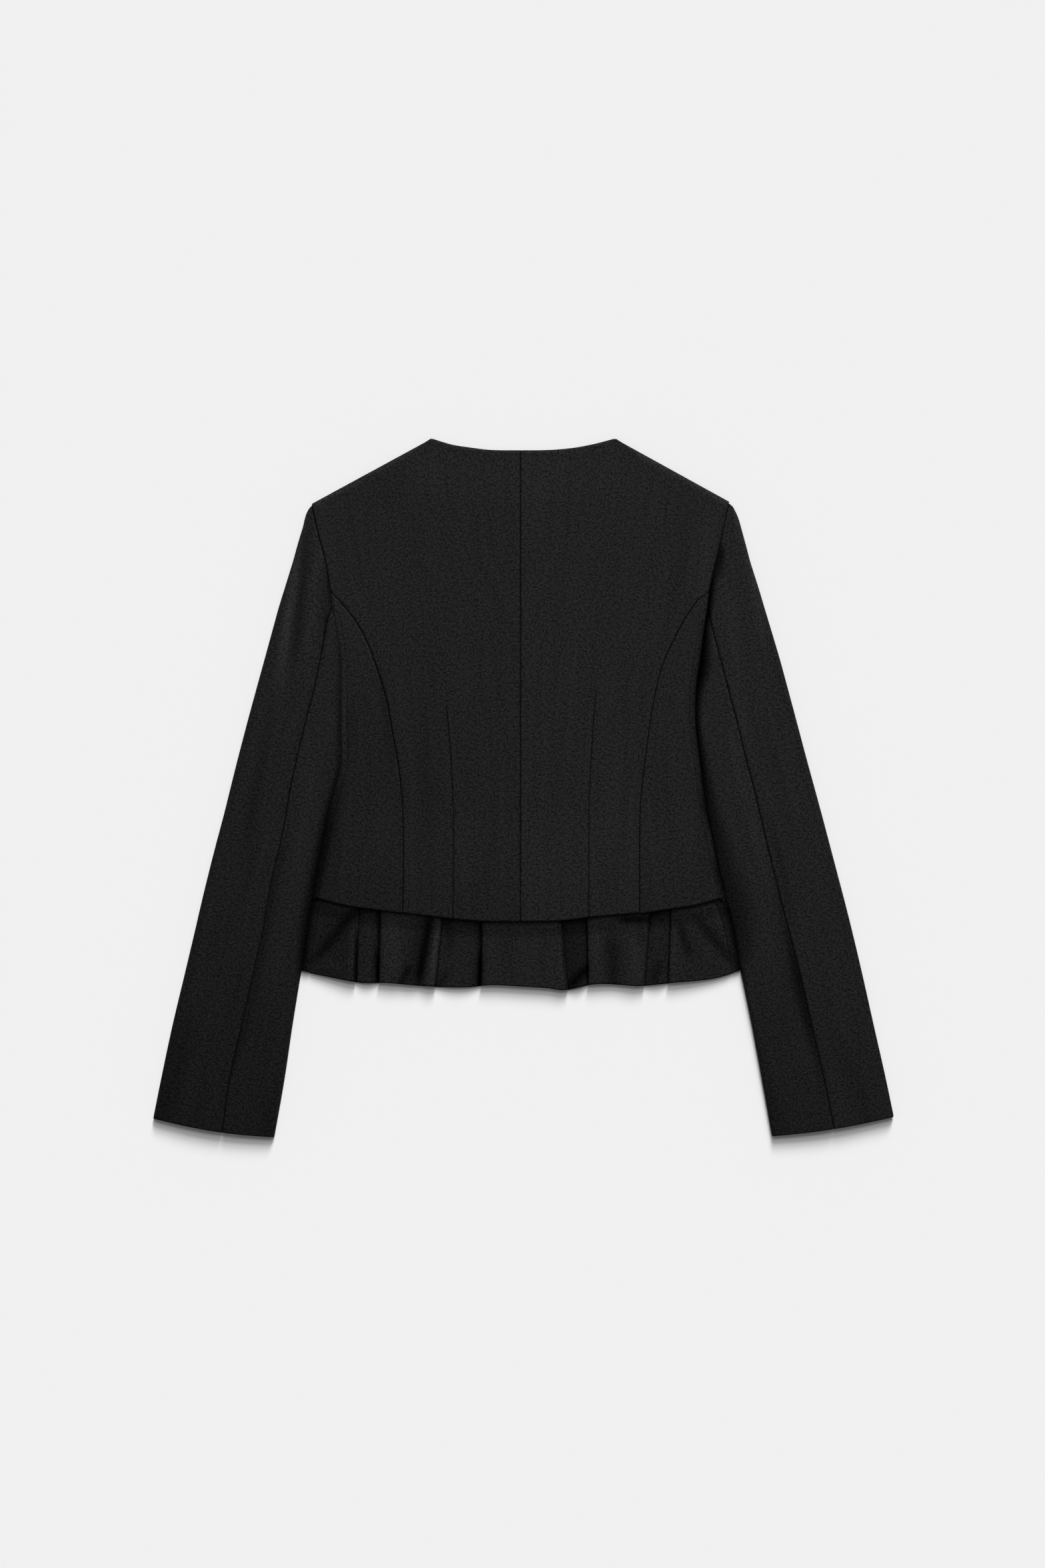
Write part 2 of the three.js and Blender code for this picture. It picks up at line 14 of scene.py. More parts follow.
import bpy
import numpy as np
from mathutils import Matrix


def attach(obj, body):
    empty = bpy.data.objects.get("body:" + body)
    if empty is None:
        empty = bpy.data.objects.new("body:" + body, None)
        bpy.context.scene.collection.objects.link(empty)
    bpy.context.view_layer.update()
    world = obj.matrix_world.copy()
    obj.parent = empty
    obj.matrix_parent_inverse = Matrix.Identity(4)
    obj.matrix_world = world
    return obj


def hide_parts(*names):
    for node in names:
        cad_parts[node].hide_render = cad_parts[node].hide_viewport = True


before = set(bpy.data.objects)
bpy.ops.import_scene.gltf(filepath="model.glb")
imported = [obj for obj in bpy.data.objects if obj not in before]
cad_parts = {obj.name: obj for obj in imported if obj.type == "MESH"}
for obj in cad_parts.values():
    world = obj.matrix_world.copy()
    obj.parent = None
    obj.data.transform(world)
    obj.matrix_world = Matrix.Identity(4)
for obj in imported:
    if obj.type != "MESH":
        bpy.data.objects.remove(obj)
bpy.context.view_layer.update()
bpy.ops.object.select_all(action="DESELECT")

MM = 0.001
NAPE = (-3.190, 321.825)  # millimetres from the model's origin to the nape
print("Pieces in the model:", ", ".join(sorted(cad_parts)))

# %% [markdown]
# ## The camera
# The photograph looks straight down, so the camera hangs above the jacket. A long lens keeps the
# cuffs as straight as the middle. A rule of three gives its height: the film is to the picture
# as the lens is to the distance.

# %% Camera
PICTURE_HEIGHT = 1.4982  # metres of floor from the top of the picture to its bottom
LENS = 85  # millimetres
FILM = 36  # millimetres, along the picture's long side
CLOTH_TOP = 0.006  # the level that the distances were measured at
AIM = (2.23, -318.18)  # millimetres from the nape to the middle of the picture

camera_height = CLOTH_TOP + PICTURE_HEIGHT * LENS / FILM
camera_x, camera_y = ((NAPE[0] + AIM[0]) * MM, (NAPE[1] + AIM[1]) * MM)
bpy.ops.object.camera_add(location=(camera_x, camera_y, camera_height), rotation=(0, 0, 0))
camera = bpy.context.object
camera.data.lens = LENS
camera.data.sensor_width = FILM
bpy.context.scene.camera = camera
print(f"The camera is {camera_height:.2f} m up")

# %% [markdown]
# ## Two helpers for materials
# Colours are written as in a paint program, in sRGB. Blender reckons in linear light, so one
# function turns the one into the other. A second adds a node, sets its values and joins its
# sockets, and every material below is a short list of such calls.


# %% Colour and node helpers
def linear(hex_colour):
    """An sRGB colour such as "#1c1c1d" as Blender's linear red, green, blue and alpha."""
    parts = [int(hex_colour[i : i + 2], 16) / 255 for i in (1, 3, 5)]
    light = [p / 12.92 if p <= 0.04045 else ((p + 0.055) / 1.055) ** 2.4 for p in parts]
    return (*light, 1.0)


def add_node(tree, kind, sockets=None, **settings):
    """Adds a node. A socket gets a value, or a link when it is given another node's output."""
    node = tree.nodes.new(kind)
    for name, value in settings.items():
        setattr(node, name, value)
    for name, value in (sockets or {}).items():
        if isinstance(value, bpy.types.NodeSocket):
            tree.links.new(value, node.inputs[name])
        else:
            node.inputs[name].default_value = value
    return node


def new_material(name):
    """An empty node material and its output node."""
    material = bpy.data.materials.new(name)
    material.use_nodes = True
    material.node_tree.nodes.clear()
    return material, add_node(material.node_tree, "ShaderNodeOutputMaterial")


print("Mid grey in linear light:", round(linear("#808080")[0], 3))

# %% [markdown]
# ## Floor and light
# A studio table for flat clothes is lit by one long softbox beyond the neck. Its lowest part
# skims the cloth and draws the hem's shadow, and its highest part fills that shadow. An area
# light would make one end of the floor brighter, so the softbox is three suns here, one above
# the other, each with a wide soft disc. A sun lights the whole floor alike.
#
# The rest of the room is a dim grey above and pale near the horizon, where it lights the edges
# of the cloth and is the backdrop of the views from the side.

# %% Floor
FLOOR_PAINT = "#e9e9e9"
FLOOR_SIZE = 30  # metres, so that its edge is far off

bpy.ops.mesh.primitive_plane_add(size=FLOOR_SIZE)
floor = bpy.context.object
floor.name = "studio_floor"
paint, paint_output = new_material("Matt white floor paint")
tree = paint.node_tree
shader = add_node(
    tree,
    "ShaderNodeBsdfPrincipled",
    {"Base Color": linear(FLOOR_PAINT), "Roughness": 1.0, "Specular IOR Level": 0.0},
)
tree.links.new(shader.outputs["BSDF"], paint_output.inputs["Surface"])
floor.data.materials.append(paint)
print(f"{floor.name} is {FLOOR_SIZE} m wide")

# %% Softbox and room
FLOOR_LIGHT = 3.42  # light that falls on each part of the floor, all lamps together
SOFTBOX = [  # height above the horizon and width of the disc in degrees, share of the light
    ("softbox_low", 18, 12, 0.28),
    ("softbox_middle", 29, 16, 0.34),
    ("softbox_high", 52, 26, 0.20),
]
FROM_RIGHT = 9  # degrees that the softbox stands to the right of the neck
ROOM_SHARE = 1 - sum(share for *_, share in SOFTBOX)
SUN_PLACE = (0, 2, 2)  # metres, only to keep the lamps off the cloth: a sun's direction counts
HORIZON_GLOW = 0.8
SKY_GLOW = 0.16
HORIZON = (0.06, 0.3)  # sines of the heights between which the one goes over into the other

for name, height, disc, share in SOFTBOX:
    aim = (math.radians(height - 90), 0, math.radians(-FROM_RIGHT))
    bpy.ops.object.light_add(type="SUN", location=SUN_PLACE, rotation=aim)
    sun = bpy.context.object
    sun.name = name
    sun.data.angle = math.radians(disc)
    sun.data.energy = share * FLOOR_LIGHT / math.sin(math.radians(height))

world = bpy.data.worlds.new("Studio room")
world.use_nodes = True
bpy.context.scene.world = world
tree = world.node_tree
tree.nodes.clear()
direction = add_node(tree, "ShaderNodeTexCoord")
parts = add_node(tree, "ShaderNodeSeparateXYZ", {"Vector": direction.outputs["Generated"]})
glow = add_node(
    tree,
    "ShaderNodeMapRange",
    {
        "Value": parts.outputs["Z"],
        "From Min": HORIZON[0],
        "From Max": HORIZON[1],
        "To Min": HORIZON_GLOW,
        "To Max": SKY_GLOW,
    },
    interpolation_type="SMOOTHSTEP",
)
backdrop = add_node(
    tree, "ShaderNodeBackground", {"Color": linear("#ffffff"), "Strength": glow.outputs["Result"]}
)
add_node(tree, "ShaderNodeOutputWorld", {"Surface": backdrop.outputs["Background"]})
scene = bpy.context.scene
scene.view_settings.view_transform = "Standard"
print(f"The softbox gives {1 - ROOM_SHARE:.0%} of the light and the room the rest")

# %% [markdown]
# ## The cloth
# Black wool twill is woven from fibres that are not all equally black. Close up it is a fine
# diagonal rib with a heather of darker and lighter specks, and from further off there are faint
# streaks along the warp. It has almost no shine, only a haze of loose fibres that catches the
# light at a grazing angle.
#
# The real rib is about 0.5 mm wide, and it is drawn at 1.3 mm so that it shows. It climbs steeply
# from left to right, as on most twill. Every pattern reads the piece's own cloth map, which is
# laid out in metres, so the grain runs down each piece as it was cut.
#
# The attribute "light" is painted light and shade. It scales the wool's colour, gloss and haze:
# little in a seam or a deep fold, where shade falls, and more on a ridge, as a painted highlight.

# %% Black wool twill
SPECK = 0.0018  # metres between specks
HEATHER = 0.0032
STREAK_WIDTH = 0.008
STREAK_LENGTH = 0.09
RIB = 0.0013  # drawn wider than the real 0.5 mm
RIB_TURN = 32  # degrees that the rib leans from upright
WAVE = math.tau / 20  # scale of a wave texture whose waves are 1 long
DARK_FIBRE = "#080809"
PALE_FIBRE = "#262627"
FIBRE_RANGE = (0.39, 0.61)  # the four patterns together swing about this far
GLOSS = 0.08  # wool has far less than the 0.5 of smooth plastic
HAZE = 0.03
WEAVE_DEPTH = 0.0003  # metres

wool, wool_output = new_material("Black wool twill")
tree = wool.node_tree
place = add_node(tree, "ShaderNodeUVMap", uv_map="Cloth").outputs["UV"]
speck = add_node(
    tree, "ShaderNodeTexNoise", {"Vector": place, "Scale": 1 / SPECK, "Detail": 1.0, "Roughness": 0.6}
)
heather = add_node(
    tree, "ShaderNodeTexNoise", {"Vector": place, "Scale": 1 / HEATHER, "Detail": 2.0, "Roughness": 0.6}
)
along_warp = add_node(
    tree, "ShaderNodeMapping", {"Vector": place, "Scale": (1 / STREAK_WIDTH, 1 / STREAK_LENGTH, 1)}
)
streak = add_node(
    tree, "ShaderNodeTexNoise", {"Vector": along_warp.outputs["Vector"], "Scale": 1.0, "Detail": 2.0}
)
leaning = add_node(
    tree, "ShaderNodeMapping", {"Vector": place, "Rotation": (0, 0, math.radians(RIB_TURN))}
)
rib = add_node(
    tree,
    "ShaderNodeTexWave",
    {"Vector": leaning.outputs["Vector"], "Scale": WAVE / RIB, "Distortion": 1.5, "Detail": 2.0},
    bands_direction="X",
)

# How pale the fibres are at a point: the four patterns, each with its own weight.
fibre = 0.0
for pattern, weight in ((heather, 0.26), (speck, 0.56), (streak, 0.08), (rib, 0.1)):
    fibre = add_node(
        tree, "ShaderNodeMath", {0: pattern.outputs["Fac"], 1: weight, 2: fibre}, operation="MULTIPLY_ADD"
    ).outputs[0]
tone = add_node(
    tree, "ShaderNodeMapRange", {"Value": fibre, "From Min": FIBRE_RANGE[0], "From Max": FIBRE_RANGE[1]}
)
yarn = add_node(
    tree,
    "ShaderNodeMix",
    {0: tone.outputs["Result"], 6: linear(DARK_FIBRE), 7: linear(PALE_FIBRE)},
    data_type="RGBA",
)
# Painted light and shade: the "light" attribute scales the yarn's colour, its gloss and its haze.
light = add_node(tree, "ShaderNodeAttribute", attribute_name="light")
lit_yarn = add_node(
    tree, "ShaderNodeVectorMath", {0: yarn.outputs[2], "Scale": light.outputs["Fac"]}, operation="SCALE"
)
gloss, haze = (
    add_node(tree, "ShaderNodeMath", {0: light.outputs["Fac"], 1: amount}, operation="MULTIPLY")
    for amount in (GLOSS, HAZE)
)
weave = add_node(
    tree, "ShaderNodeMath", {0: rib.outputs["Fac"], 1: 0.5, 2: speck.outputs["Fac"]}, operation="MULTIPLY_ADD"
)
relief = add_node(
    tree, "ShaderNodeBump", {"Height": weave.outputs[0], "Strength": 0.35, "Distance": WEAVE_DEPTH}
)
shader = add_node(
    tree,
    "ShaderNodeBsdfPrincipled",
    {
        "Base Color": lit_yarn.outputs["Vector"],
        "Roughness": 0.9,
        "IOR": 1.5,
        "Specular IOR Level": gloss.outputs[0],
        "Sheen Weight": haze.outputs[0],
        "Sheen Roughness": 0.5,
        "Sheen Tint": linear("#a8a8ac"),
        "Normal": relief.outputs["Normal"],
    },
)
tree.links.new(shader.outputs["BSDF"], wool_output.inputs["Surface"])
print("Nodes in the wool:", len(tree.nodes))

# %% [markdown]
# ## Lines of the cut
# A jacket is drawn flat before it is sewn, and its pattern is a set of curves. The tables below
# are those curves, in millimetres. "down" is measured from the nape, the middle of the back
# neckline, and "out" from the centre back. A smooth curve goes through the points of each.


# %% Curves
def smooth(points):
    """A smooth curve through (at, value) pairs, carried straight on past its ends."""
    at, value = np.array(points, float).T
    number = np.arange(len(at))
    before = np.maximum(number - 1, 0)
    after = np.minimum(number + 1, len(at) - 1)
    slope = (value[after] - value[before]) / (at[after] - at[before])

    def curve(x):
        x = np.asarray(x, float)
        i = np.clip(np.searchsorted(at, x) - 1, 0, len(at) - 2)
        step = at[i + 1] - at[i]
        t = np.clip((x - at[i]) / step, 0, 1)
        rise = value[i + 1] - value[i]
        bend = (1 - t) * (slope[i] * step - rise) + t * (rise - slope[i + 1] * step)
        past = np.minimum(x - at[0], 0) * slope[0] + np.maximum(x - at[-1], 0) * slope[-1]
        return value[i] + t * rise + t * (1 - t) * bend + past

    return curve


def mix(a, b, t):
    """The value that lies t of the way from a to b."""
    return a + (b - a) * t


def ease(t):
    """Goes smoothly from 0 to 1 while t does, and stays there."""
    t = np.clip(t, 0, 1)
    return t * t * (3 - 2 * t)


print("A quarter of the way along, ease has gone", float(ease(0.25)))

# %% The two halves of the jacket
# A row for each level down: outer edge of the sleeve, and then the armhole, which from the
# underarm down is the line where the sleeve lies against the body.
LEFT_SLEEVE = [
    (54, 200.6, 198.7), (56, 202.2, 198.3), (58.6, 203.8, 197.8), (61.8, 205.2, 197.1),
    (66, 206.4, 196.2), (72.6, 207.9, 194.8), (80, 210.2, 193.0), (92, 213.7, 189.7),
    (105, 217.3, 186.3), (130, 225.0, 182.0), (150, 231.2, 179.8), (162, 234.5, 177.4),
    (177, 238.6, 175.2), (200, 244.9, 172.0), (225, 251.8, 171.4), (260, 261.3, 171.4),
    (298, 271.2, 171.6), (322, 277.2, 176.8), (347, 283.4, 183.5), (376, 291.1, 189.8),
    (403, 298.0, 195.0), (428, 304.1, 199.4), (459, 311.3, 204.5), (497, 320.3, 209.5),
    (550, 332.9, 217.9), (600, 343.5, 225.3), (655, 354.5, 235.0),
]
RIGHT_SLEEVE = [
    (51, 201.4, 199.4), (54, 203.7, 198.6), (56, 204.9, 198.1), (58.6, 206.3, 197.5),
    (61.8, 207.8, 196.8), (66, 209.4, 195.9), (80, 213.3, 193.0), (92, 216.6, 190.3),
    (105, 220.0, 187.0), (130, 227.9, 181.4), (150, 233.9, 178.9), (162, 237.5, 176.9),
    (177, 242.0, 175.0), (200, 248.8, 171.8), (225, 255.6, 168.3), (260, 265.0, 167.7),
    (298, 275.1, 172.0), (322, 281.7, 175.1), (347, 288.5, 179.0), (376, 296.2, 185.0),
    (403, 303.3, 190.4), (428, 309.9, 197.0), (459, 317.7, 204.3), (497, 326.7, 211.0),
    (550, 338.6, 221.7), (600, 349.9, 231.0), (655, 361.3, 240.8),
]
LEFT_SLEEVE_SEAM = [
    (150, 180.2), (162, 184.3), (177, 187.0), (200, 191.3), (225, 196.3), (260, 205.4),
    (298, 214.4), (322, 219.5), (347, 223.9), (376, 229.3), (403, 236.2), (428, 241.2),
    (459, 246.2), (497, 254.8), (550, 266.5), (600, 277.6), (655, 285.5),
]
RIGHT_SLEEVE_SEAM = [
    (150, 179.3), (162, 181.8), (177, 185.6), (200, 191.7), (225, 198.1), (260, 207.4),
    (298, 216.6), (322, 223.2), (347, 229.1), (376, 235.9), (403, 242.3), (428, 248.6),
    (459, 256.9), (497, 266.9), (550, 278.8), (600, 290.3), (655, 301.5),
]
LEFT_PRINCESS = [
    (134, 181.3), (137, 179.3), (142, 174.2), (150, 167.4), (162, 158.0), (180, 147.7), (206, 137.7),
    (237, 128.0), (268, 122.2), (304, 115.9), (336, 112.7), (370, 111.5), (404, 111.5), (441, 112.1),
]
RIGHT_PRINCESS = [
    (134, 180.5), (137, 178.0), (142, 171.0), (150, 164.7), (162, 156.8), (180, 147.2), (206, 135.6),
    (237, 128.0), (268, 123.0), (304, 118.3), (336, 114.9), (370, 114.0), (404, 114.0), (441, 114.0),
]


def half(name, sign, sleeve, sleeve_seam, princess, **values):
    """One half of the jacket, with a curve for each of its lines and its own values."""
    return SimpleNamespace(
        name=name,
        sign=sign,
        outer=smooth([(down, outer) for down, outer, _ in sleeve]),
        inner=smooth([(down, inner) for down, _, inner in sleeve]),
        seam=smooth(sleeve_seam),
        princess=smooth(princess),
        **values,
    )


left = half(
    "left", -1, LEFT_SLEEVE, LEFT_SLEEVE_SEAM, LEFT_PRINCESS,
    neck_point=85.5, neck_down=-12.0, shoulder_down=50.4, dart_tip=238,
    cuff_inner=656, cuff_outer=638, cuff_bow=3.2,
)
right = half(
    "right", 1, RIGHT_SLEEVE, RIGHT_SLEEVE_SEAM, RIGHT_PRINCESS,
    neck_point=91.0, neck_down=-12.1, shoulder_down=48.4, dart_tip=225,
    cuff_inner=655, cuff_outer=636.5, cuff_bow=2.4,
)
for side in (left, right):
    print(f"The {side.name} sleeve is {float(side.outer(600) - side.inner(600)):.0f} mm wide near its cuff")

# %% Edges that cross the back, from left to right
neckline = smooth([
    (-85.5, -12), (-82.8, -11.4), (-74.5, -8.8), (-63.7, -5.8), (-47.8, -3.4), (-28.7, -1.2), (0, -0.9),
    (28.7, -1.2), (51.6, -3.2), (70.1, -6.6), (77.7, -8.5), (91, -12.1),
])
bodice_hem = smooth([
    (-199, 426), (-174, 433), (-153, 436.5), (-112, 441.4), (-64, 447), (-35, 449.3), (0, 449.5),
    (38, 449), (66, 446), (89, 444), (114, 442), (146, 437.6), (171, 434.2), (199, 427),
])
peplum_hem = smooth([
    (-210, 496.6), (-178, 503.4), (-152, 508), (-128, 508), (-110, 509.6), (-84, 511.6), (-50, 512.1),
    (-28, 510), (0, 511.4), (28, 513.2), (40, 515.2), (52, 513.4), (66, 510), (80, 509), (103, 510.4),
    (112, 511.2), (143, 508.3), (185, 503.9), (212, 496),
])

PRINCESS_TOP = 135  # levels down from the nape
PRINCESS_HEM = 441
UNDERARM = 150
SEAM_GAP = 0.3
BODY_WALL = 1.4
print("The back is", round(float(bodice_hem(0))), "mm long to the bodice hem")

# %% [markdown]
# ## How high the cloth lies
# Nothing here is thicker than a finger: the front lies on the floor, the back on the front, and
# the hem is lifted by the peplum tucked in under it. What the eye reads as cloth is how that
# height changes. Beside a seam the cloth rolls in, over a shoulder it turns down, and a crease
# is a soft trough or ridge. Each is a small function that gives millimetres of height.
#
# Black wool is lit by the sky of the room and hardly by itself, so a place that sees little of
# the room is almost black. That shade is painted: the same distances give a share of light that
# is painted into the colour of each place.


# %% Rolls and creases
CREASE_FADE = 0.35  # share of a crease's length over which each of its ends fades


def roll_in(distance, depth=0.8, reach=1.9):
    """How far the cloth dips where it turns into a seam, "distance" away from the seam's line."""
    return depth * (1 - ease(distance / reach))


def lit(distance, depth=0.9, reach=1.2, core=0):
    """Painted shade: share of the light kept in the colour, "distance" away from a seam or an overhang.

    "core" is the share of the reach that lies in full shade.
    """
    return 1 - depth * (1 - ease((distance / reach - core) / (1 - core)))


def varied(level, *points):
    """A value that changes down the jacket, from (level, value) to (level, value)."""
    return np.interp(level, *zip(*points))


def creased(x, down, creases):
    """Height and painted light that a list of creases adds. Each fades out towards both ends.

    A crease is its start, its end, half its width, its height (less than 0 for a trough) and the
    painted light or shade that it adds to the colour.
    """
    height, light = 0 * x, 0 * x
    for (x0, down0), (x1, down1), width, rise, glow in creases:
        length = math.hypot(x1 - x0, down1 - down0)
        along = ((x - x0) * (x1 - x0) + (down - down0) * (down1 - down0)) / length**2
        aside = ((x - x0) * (down1 - down0) - (down - down0) * (x1 - x0)) / length
        ends = ease(along / CREASE_FADE) * ease((1 - along) / CREASE_FADE)
        near = ends * np.exp(-((aside / width) ** 2))
        height = height + rise * near
        light = light + glow * near
    return height, light


print(f"0.6 mm from a seam the cloth gets {float(lit(0.6)):.0%} of the light")

# %% Height of the back
BACK_HEIGHT = 5
SHOULDER_ROLL = 3.3  # how far the back comes down where it turns over the shoulder
ROLL_WIDTH = 6.5
NECK_CORNER = 16  # width in which the neckline's edge goes over into the shoulder's
NECK_DROOP = 1.9  # how far the cloth sinks towards the neckline
NECK_DROOP_LENGTH = 55
NECK_DROOP_WIDTH = 24
NECK_ROLL = 1.3
NECK_ROLL_WIDTH = 3.2
HEM_LIFT = (3.35, 1.3)  # at the centre and at the side
HEM_LIFT_SIDE = 150  # how far out the lift begins to grow less
HEM_LIFT_BLEND = 38
HEM_LIFT_LENGTH = 110
HEM_FLAT_LENGTH = 13


def body_edge(side, down):
    """Out to the tip of the body's side fold, or to the armhole seam above the underarm."""
    return side.inner(down) - SEAM_GAP / 2


def sleeve_edge(side, down):
    """Out to the inner edge of the sleeve, just beyond the body's."""
    return side.inner(down) + SEAM_GAP / 2


def top_edge(side, out):
    """Level of the neckline, and from the neck point out of the shoulder."""
    along = (out - side.neck_point) / (side.inner(side.shoulder_down) - side.neck_point)
    shoulder = mix(side.neck_down, side.shoulder_down, along)
    return np.where(out <= side.neck_point, neckline(side.sign * out), shoulder)


def quarter_round(distance, drop, width):
    """How far cloth has come down near an edge that it turns over, in a quarter of an ellipse."""
    near = 1 - np.clip(distance / width, 0, 1)
    return drop * (1 - np.sqrt(1 - near**2))


def top_drop(side, out, down):
    """How far the back has come down at the shoulder and at the neckline."""
    below = down - top_edge(side, out)
    run = side.inner(side.shoulder_down) - side.neck_point
    slope = math.atan2(side.shoulder_down - side.neck_down, run)
    at_shoulder = ease((out - side.neck_point + NECK_CORNER / 2) / NECK_CORNER)
    over_shoulder = quarter_round(below * math.cos(slope), SHOULDER_ROLL, ROLL_WIDTH)
    droop = NECK_DROOP * (1 - ease(below / NECK_DROOP_LENGTH))
    droop = droop * (1 - ease((out - side.neck_point) / NECK_DROOP_WIDTH))
    over_neck = droop + quarter_round(below, NECK_ROLL, NECK_ROLL_WIDTH) * (1 - at_shoulder)
    return np.minimum(np.maximum(over_shoulder * at_shoulder, over_neck), SHOULDER_ROLL)


def back_height(side, out, down):
    """Height of the middle of the back's cloth."""
    lift = mix(*HEM_LIFT, ease((out - HEM_LIFT_SIDE) / HEM_LIFT_BLEND))
    near = (down - bodice_hem(side.sign * out) + HEM_LIFT_LENGTH) / (HEM_LIFT_LENGTH - HEM_FLAT_LENGTH)
    return BACK_HEIGHT + lift * ease(near) - top_drop(side, out, down)


print(f"At the middle of the hem the back is {float(back_height(left, 0, 449)):.1f} mm up")

# %% [markdown]
# ## A piece of cloth
# The obvious way to make cloth is a simulation, but this jacket is pressed and laid by hand, and
# a simulation would not put each seam where the pattern has it. So a piece starts as a grid with
# many fine lines. Every crossing is moved to its place on the pattern, with the lines close
# together beside seams and far apart elsewhere. Solidify then gives the sheet its thickness,
# thinner at the rim, so that every edge is round.
#
# The pieces are not all the same black: the wool's nap catches the light differently on each, and
# some lie in shade. That is painted, as light at the top, middle and end of each piece.

# %% Laying a piece
RIM = (0.3, 0.75, 0.95)  # shares of its thickness that a piece has along its edge, from the edge in
# The painted shade never takes the wool's colour below this share.
DARKEST = 0.03  # share of the light that even the deepest fold gets
# Painted light and shade of each piece, at its top, middle and end.
PAINTED_PIECE_LIGHT = {
    "back_centre_left": (0.97, 0.92, 0.8),
    "back_centre_right": (1.02, 0.97, 0.92),
    "back_side_left": (0.98, 0.84, 0.73),
    "back_side_right": (0.98, 0.93, 0.84),
    "front_left": (1.0, 0.95, 0.76),
    "front_right": (0.98, 0.93, 0.84),
    "sleeve_top_left": (0.95, 0.83, 0.58),
    "sleeve_top_right": (1.03, 0.95, 0.77),
    "sleeve_under_left": (0.95, 0.78, 0.58),
    "sleeve_under_right": (0.99, 0.94, 0.7),
    "peplum_front_left": (0.55, 0.55, 0.55),
    "peplum_front_right": (0.8, 0.8, 0.8),
    "peplum_back": (1.0, 1.0, 1.0),
}


def lines(count, *marks):
    """Places from 0 to 1 of "count" lines. A mark (share of the lines, place) bunches them."""
    share, place = zip((0, 0), *marks, (1, 1))
    return np.interp(np.linspace(0, 1, count), share, place)


def cloth_map(points):
    """Metres along each row, from its middle, and down the middle column, and the whole area."""
    rows, columns, _ = points.shape
    across = np.linalg.norm(np.diff(points, axis=1), axis=2)
    across = np.concatenate([np.zeros((rows, 1)), np.cumsum(across, axis=1)], axis=1)
    across -= across[:, columns // 2][:, None]
    middle = points[:, columns // 2]
    along = np.concatenate([[0], np.cumsum(np.linalg.norm(np.diff(middle, axis=0), axis=1))])
    first = points[1:, 1:] - points[:-1, :-1]
    second = points[1:, :-1] - points[:-1, 1:]
    area = np.linalg.norm(np.cross(first, second), axis=2).sum() / 2
    return across, along, float(area)


def thicken(piece, from_rim, wall):
    """Gives a sheet its thickness, less at the rim, and keeps it above the floor."""
    group = piece.vertex_groups.new(name="thickness")
    for ring, share in enumerate(RIM):
        group.add(np.flatnonzero(from_rim == ring).tolist(), share, "REPLACE")
    group.add(np.flatnonzero(from_rim >= len(RIM)).tolist(), 1.0, "REPLACE")
    bpy.context.view_layer.objects.active = piece
    modifier = piece.modifiers.new("Wall", "SOLIDIFY")
    modifier.thickness = wall * MM
    modifier.offset = 0
    modifier.vertex_group = "thickness"
    bpy.ops.object.modifier_apply(modifier=modifier.name)
    piece.vertex_groups.clear()
    places = np.empty(3 * len(piece.data.vertices))
    piece.data.vertices.foreach_get("co", places)
    places[2::3] = np.maximum(places[2::3], 0)
    piece.data.vertices.foreach_set("co", places)
    bpy.ops.object.shade_smooth()


def lay(node, x, down, height, wall, light):
    """Makes a sheet whose grid crossings lie at x, down and height, in millimetres."""
    x, down, height, light = np.broadcast_arrays(x, down, height, light)
    if x[0, 1] < x[0, 0]:  # so that the sheet's upper side stays up
        x, down, height, light = (each[:, ::-1] for each in (x, down, height, light))
    rows, columns = x.shape
    points = np.stack([x + NAPE[0], NAPE[1] - down, height], axis=-1) * MM
    bpy.ops.object.select_all(action="DESELECT")
    bpy.ops.mesh.primitive_grid_add(x_subdivisions=columns - 1, y_subdivisions=rows - 1, size=1)
    piece = bpy.context.object
    piece.name = piece.data.name = f"wool_{node}"
    mesh = piece.data
    flat = np.empty(3 * len(mesh.vertices))
    mesh.vertices.foreach_get("co", flat)
    flat = flat.reshape(-1, 3)
    column = np.rint((flat[:, 0] + 0.5) * (columns - 1)).astype(int)
    row = np.rint((0.5 - flat[:, 1]) * (rows - 1)).astype(int)
    mesh.vertices.foreach_set("co", points[row, column].ravel())

    across, along, area = cloth_map(points)
    mesh.uv_layers[0].name = "Cloth"
    corner = np.empty(len(mesh.loops), int)
    mesh.loops.foreach_get("vertex_index", corner)
    r, c = row[corner], column[corner]
    mesh.uv_layers["Cloth"].data.foreach_set("uv", np.stack([across[r, c], -along[r]], axis=-1).ravel())
    # painted light and shade of the piece along its length
    piece_light = np.interp(along / along[-1], (0, 0.5, 1), PAINTED_PIECE_LIGHT[node])[:, None]
    # The painted light and shade go into the wool's colour through the "light" attribute.
    shade = mesh.attributes.new("light", "FLOAT", "POINT")
    shade.data.foreach_set("value", np.maximum(light * piece_light, DARKEST)[row, column].astype(np.float32))

    from_rim = np.minimum.reduce([row, rows - 1 - row, column, columns - 1 - column])
    thicken(piece, from_rim, wall)
    mesh.materials.append(wool)
    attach(piece, "root")
    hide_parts(node)


print("Pieces to lay:", len(PAINTED_PIECE_LIGHT))
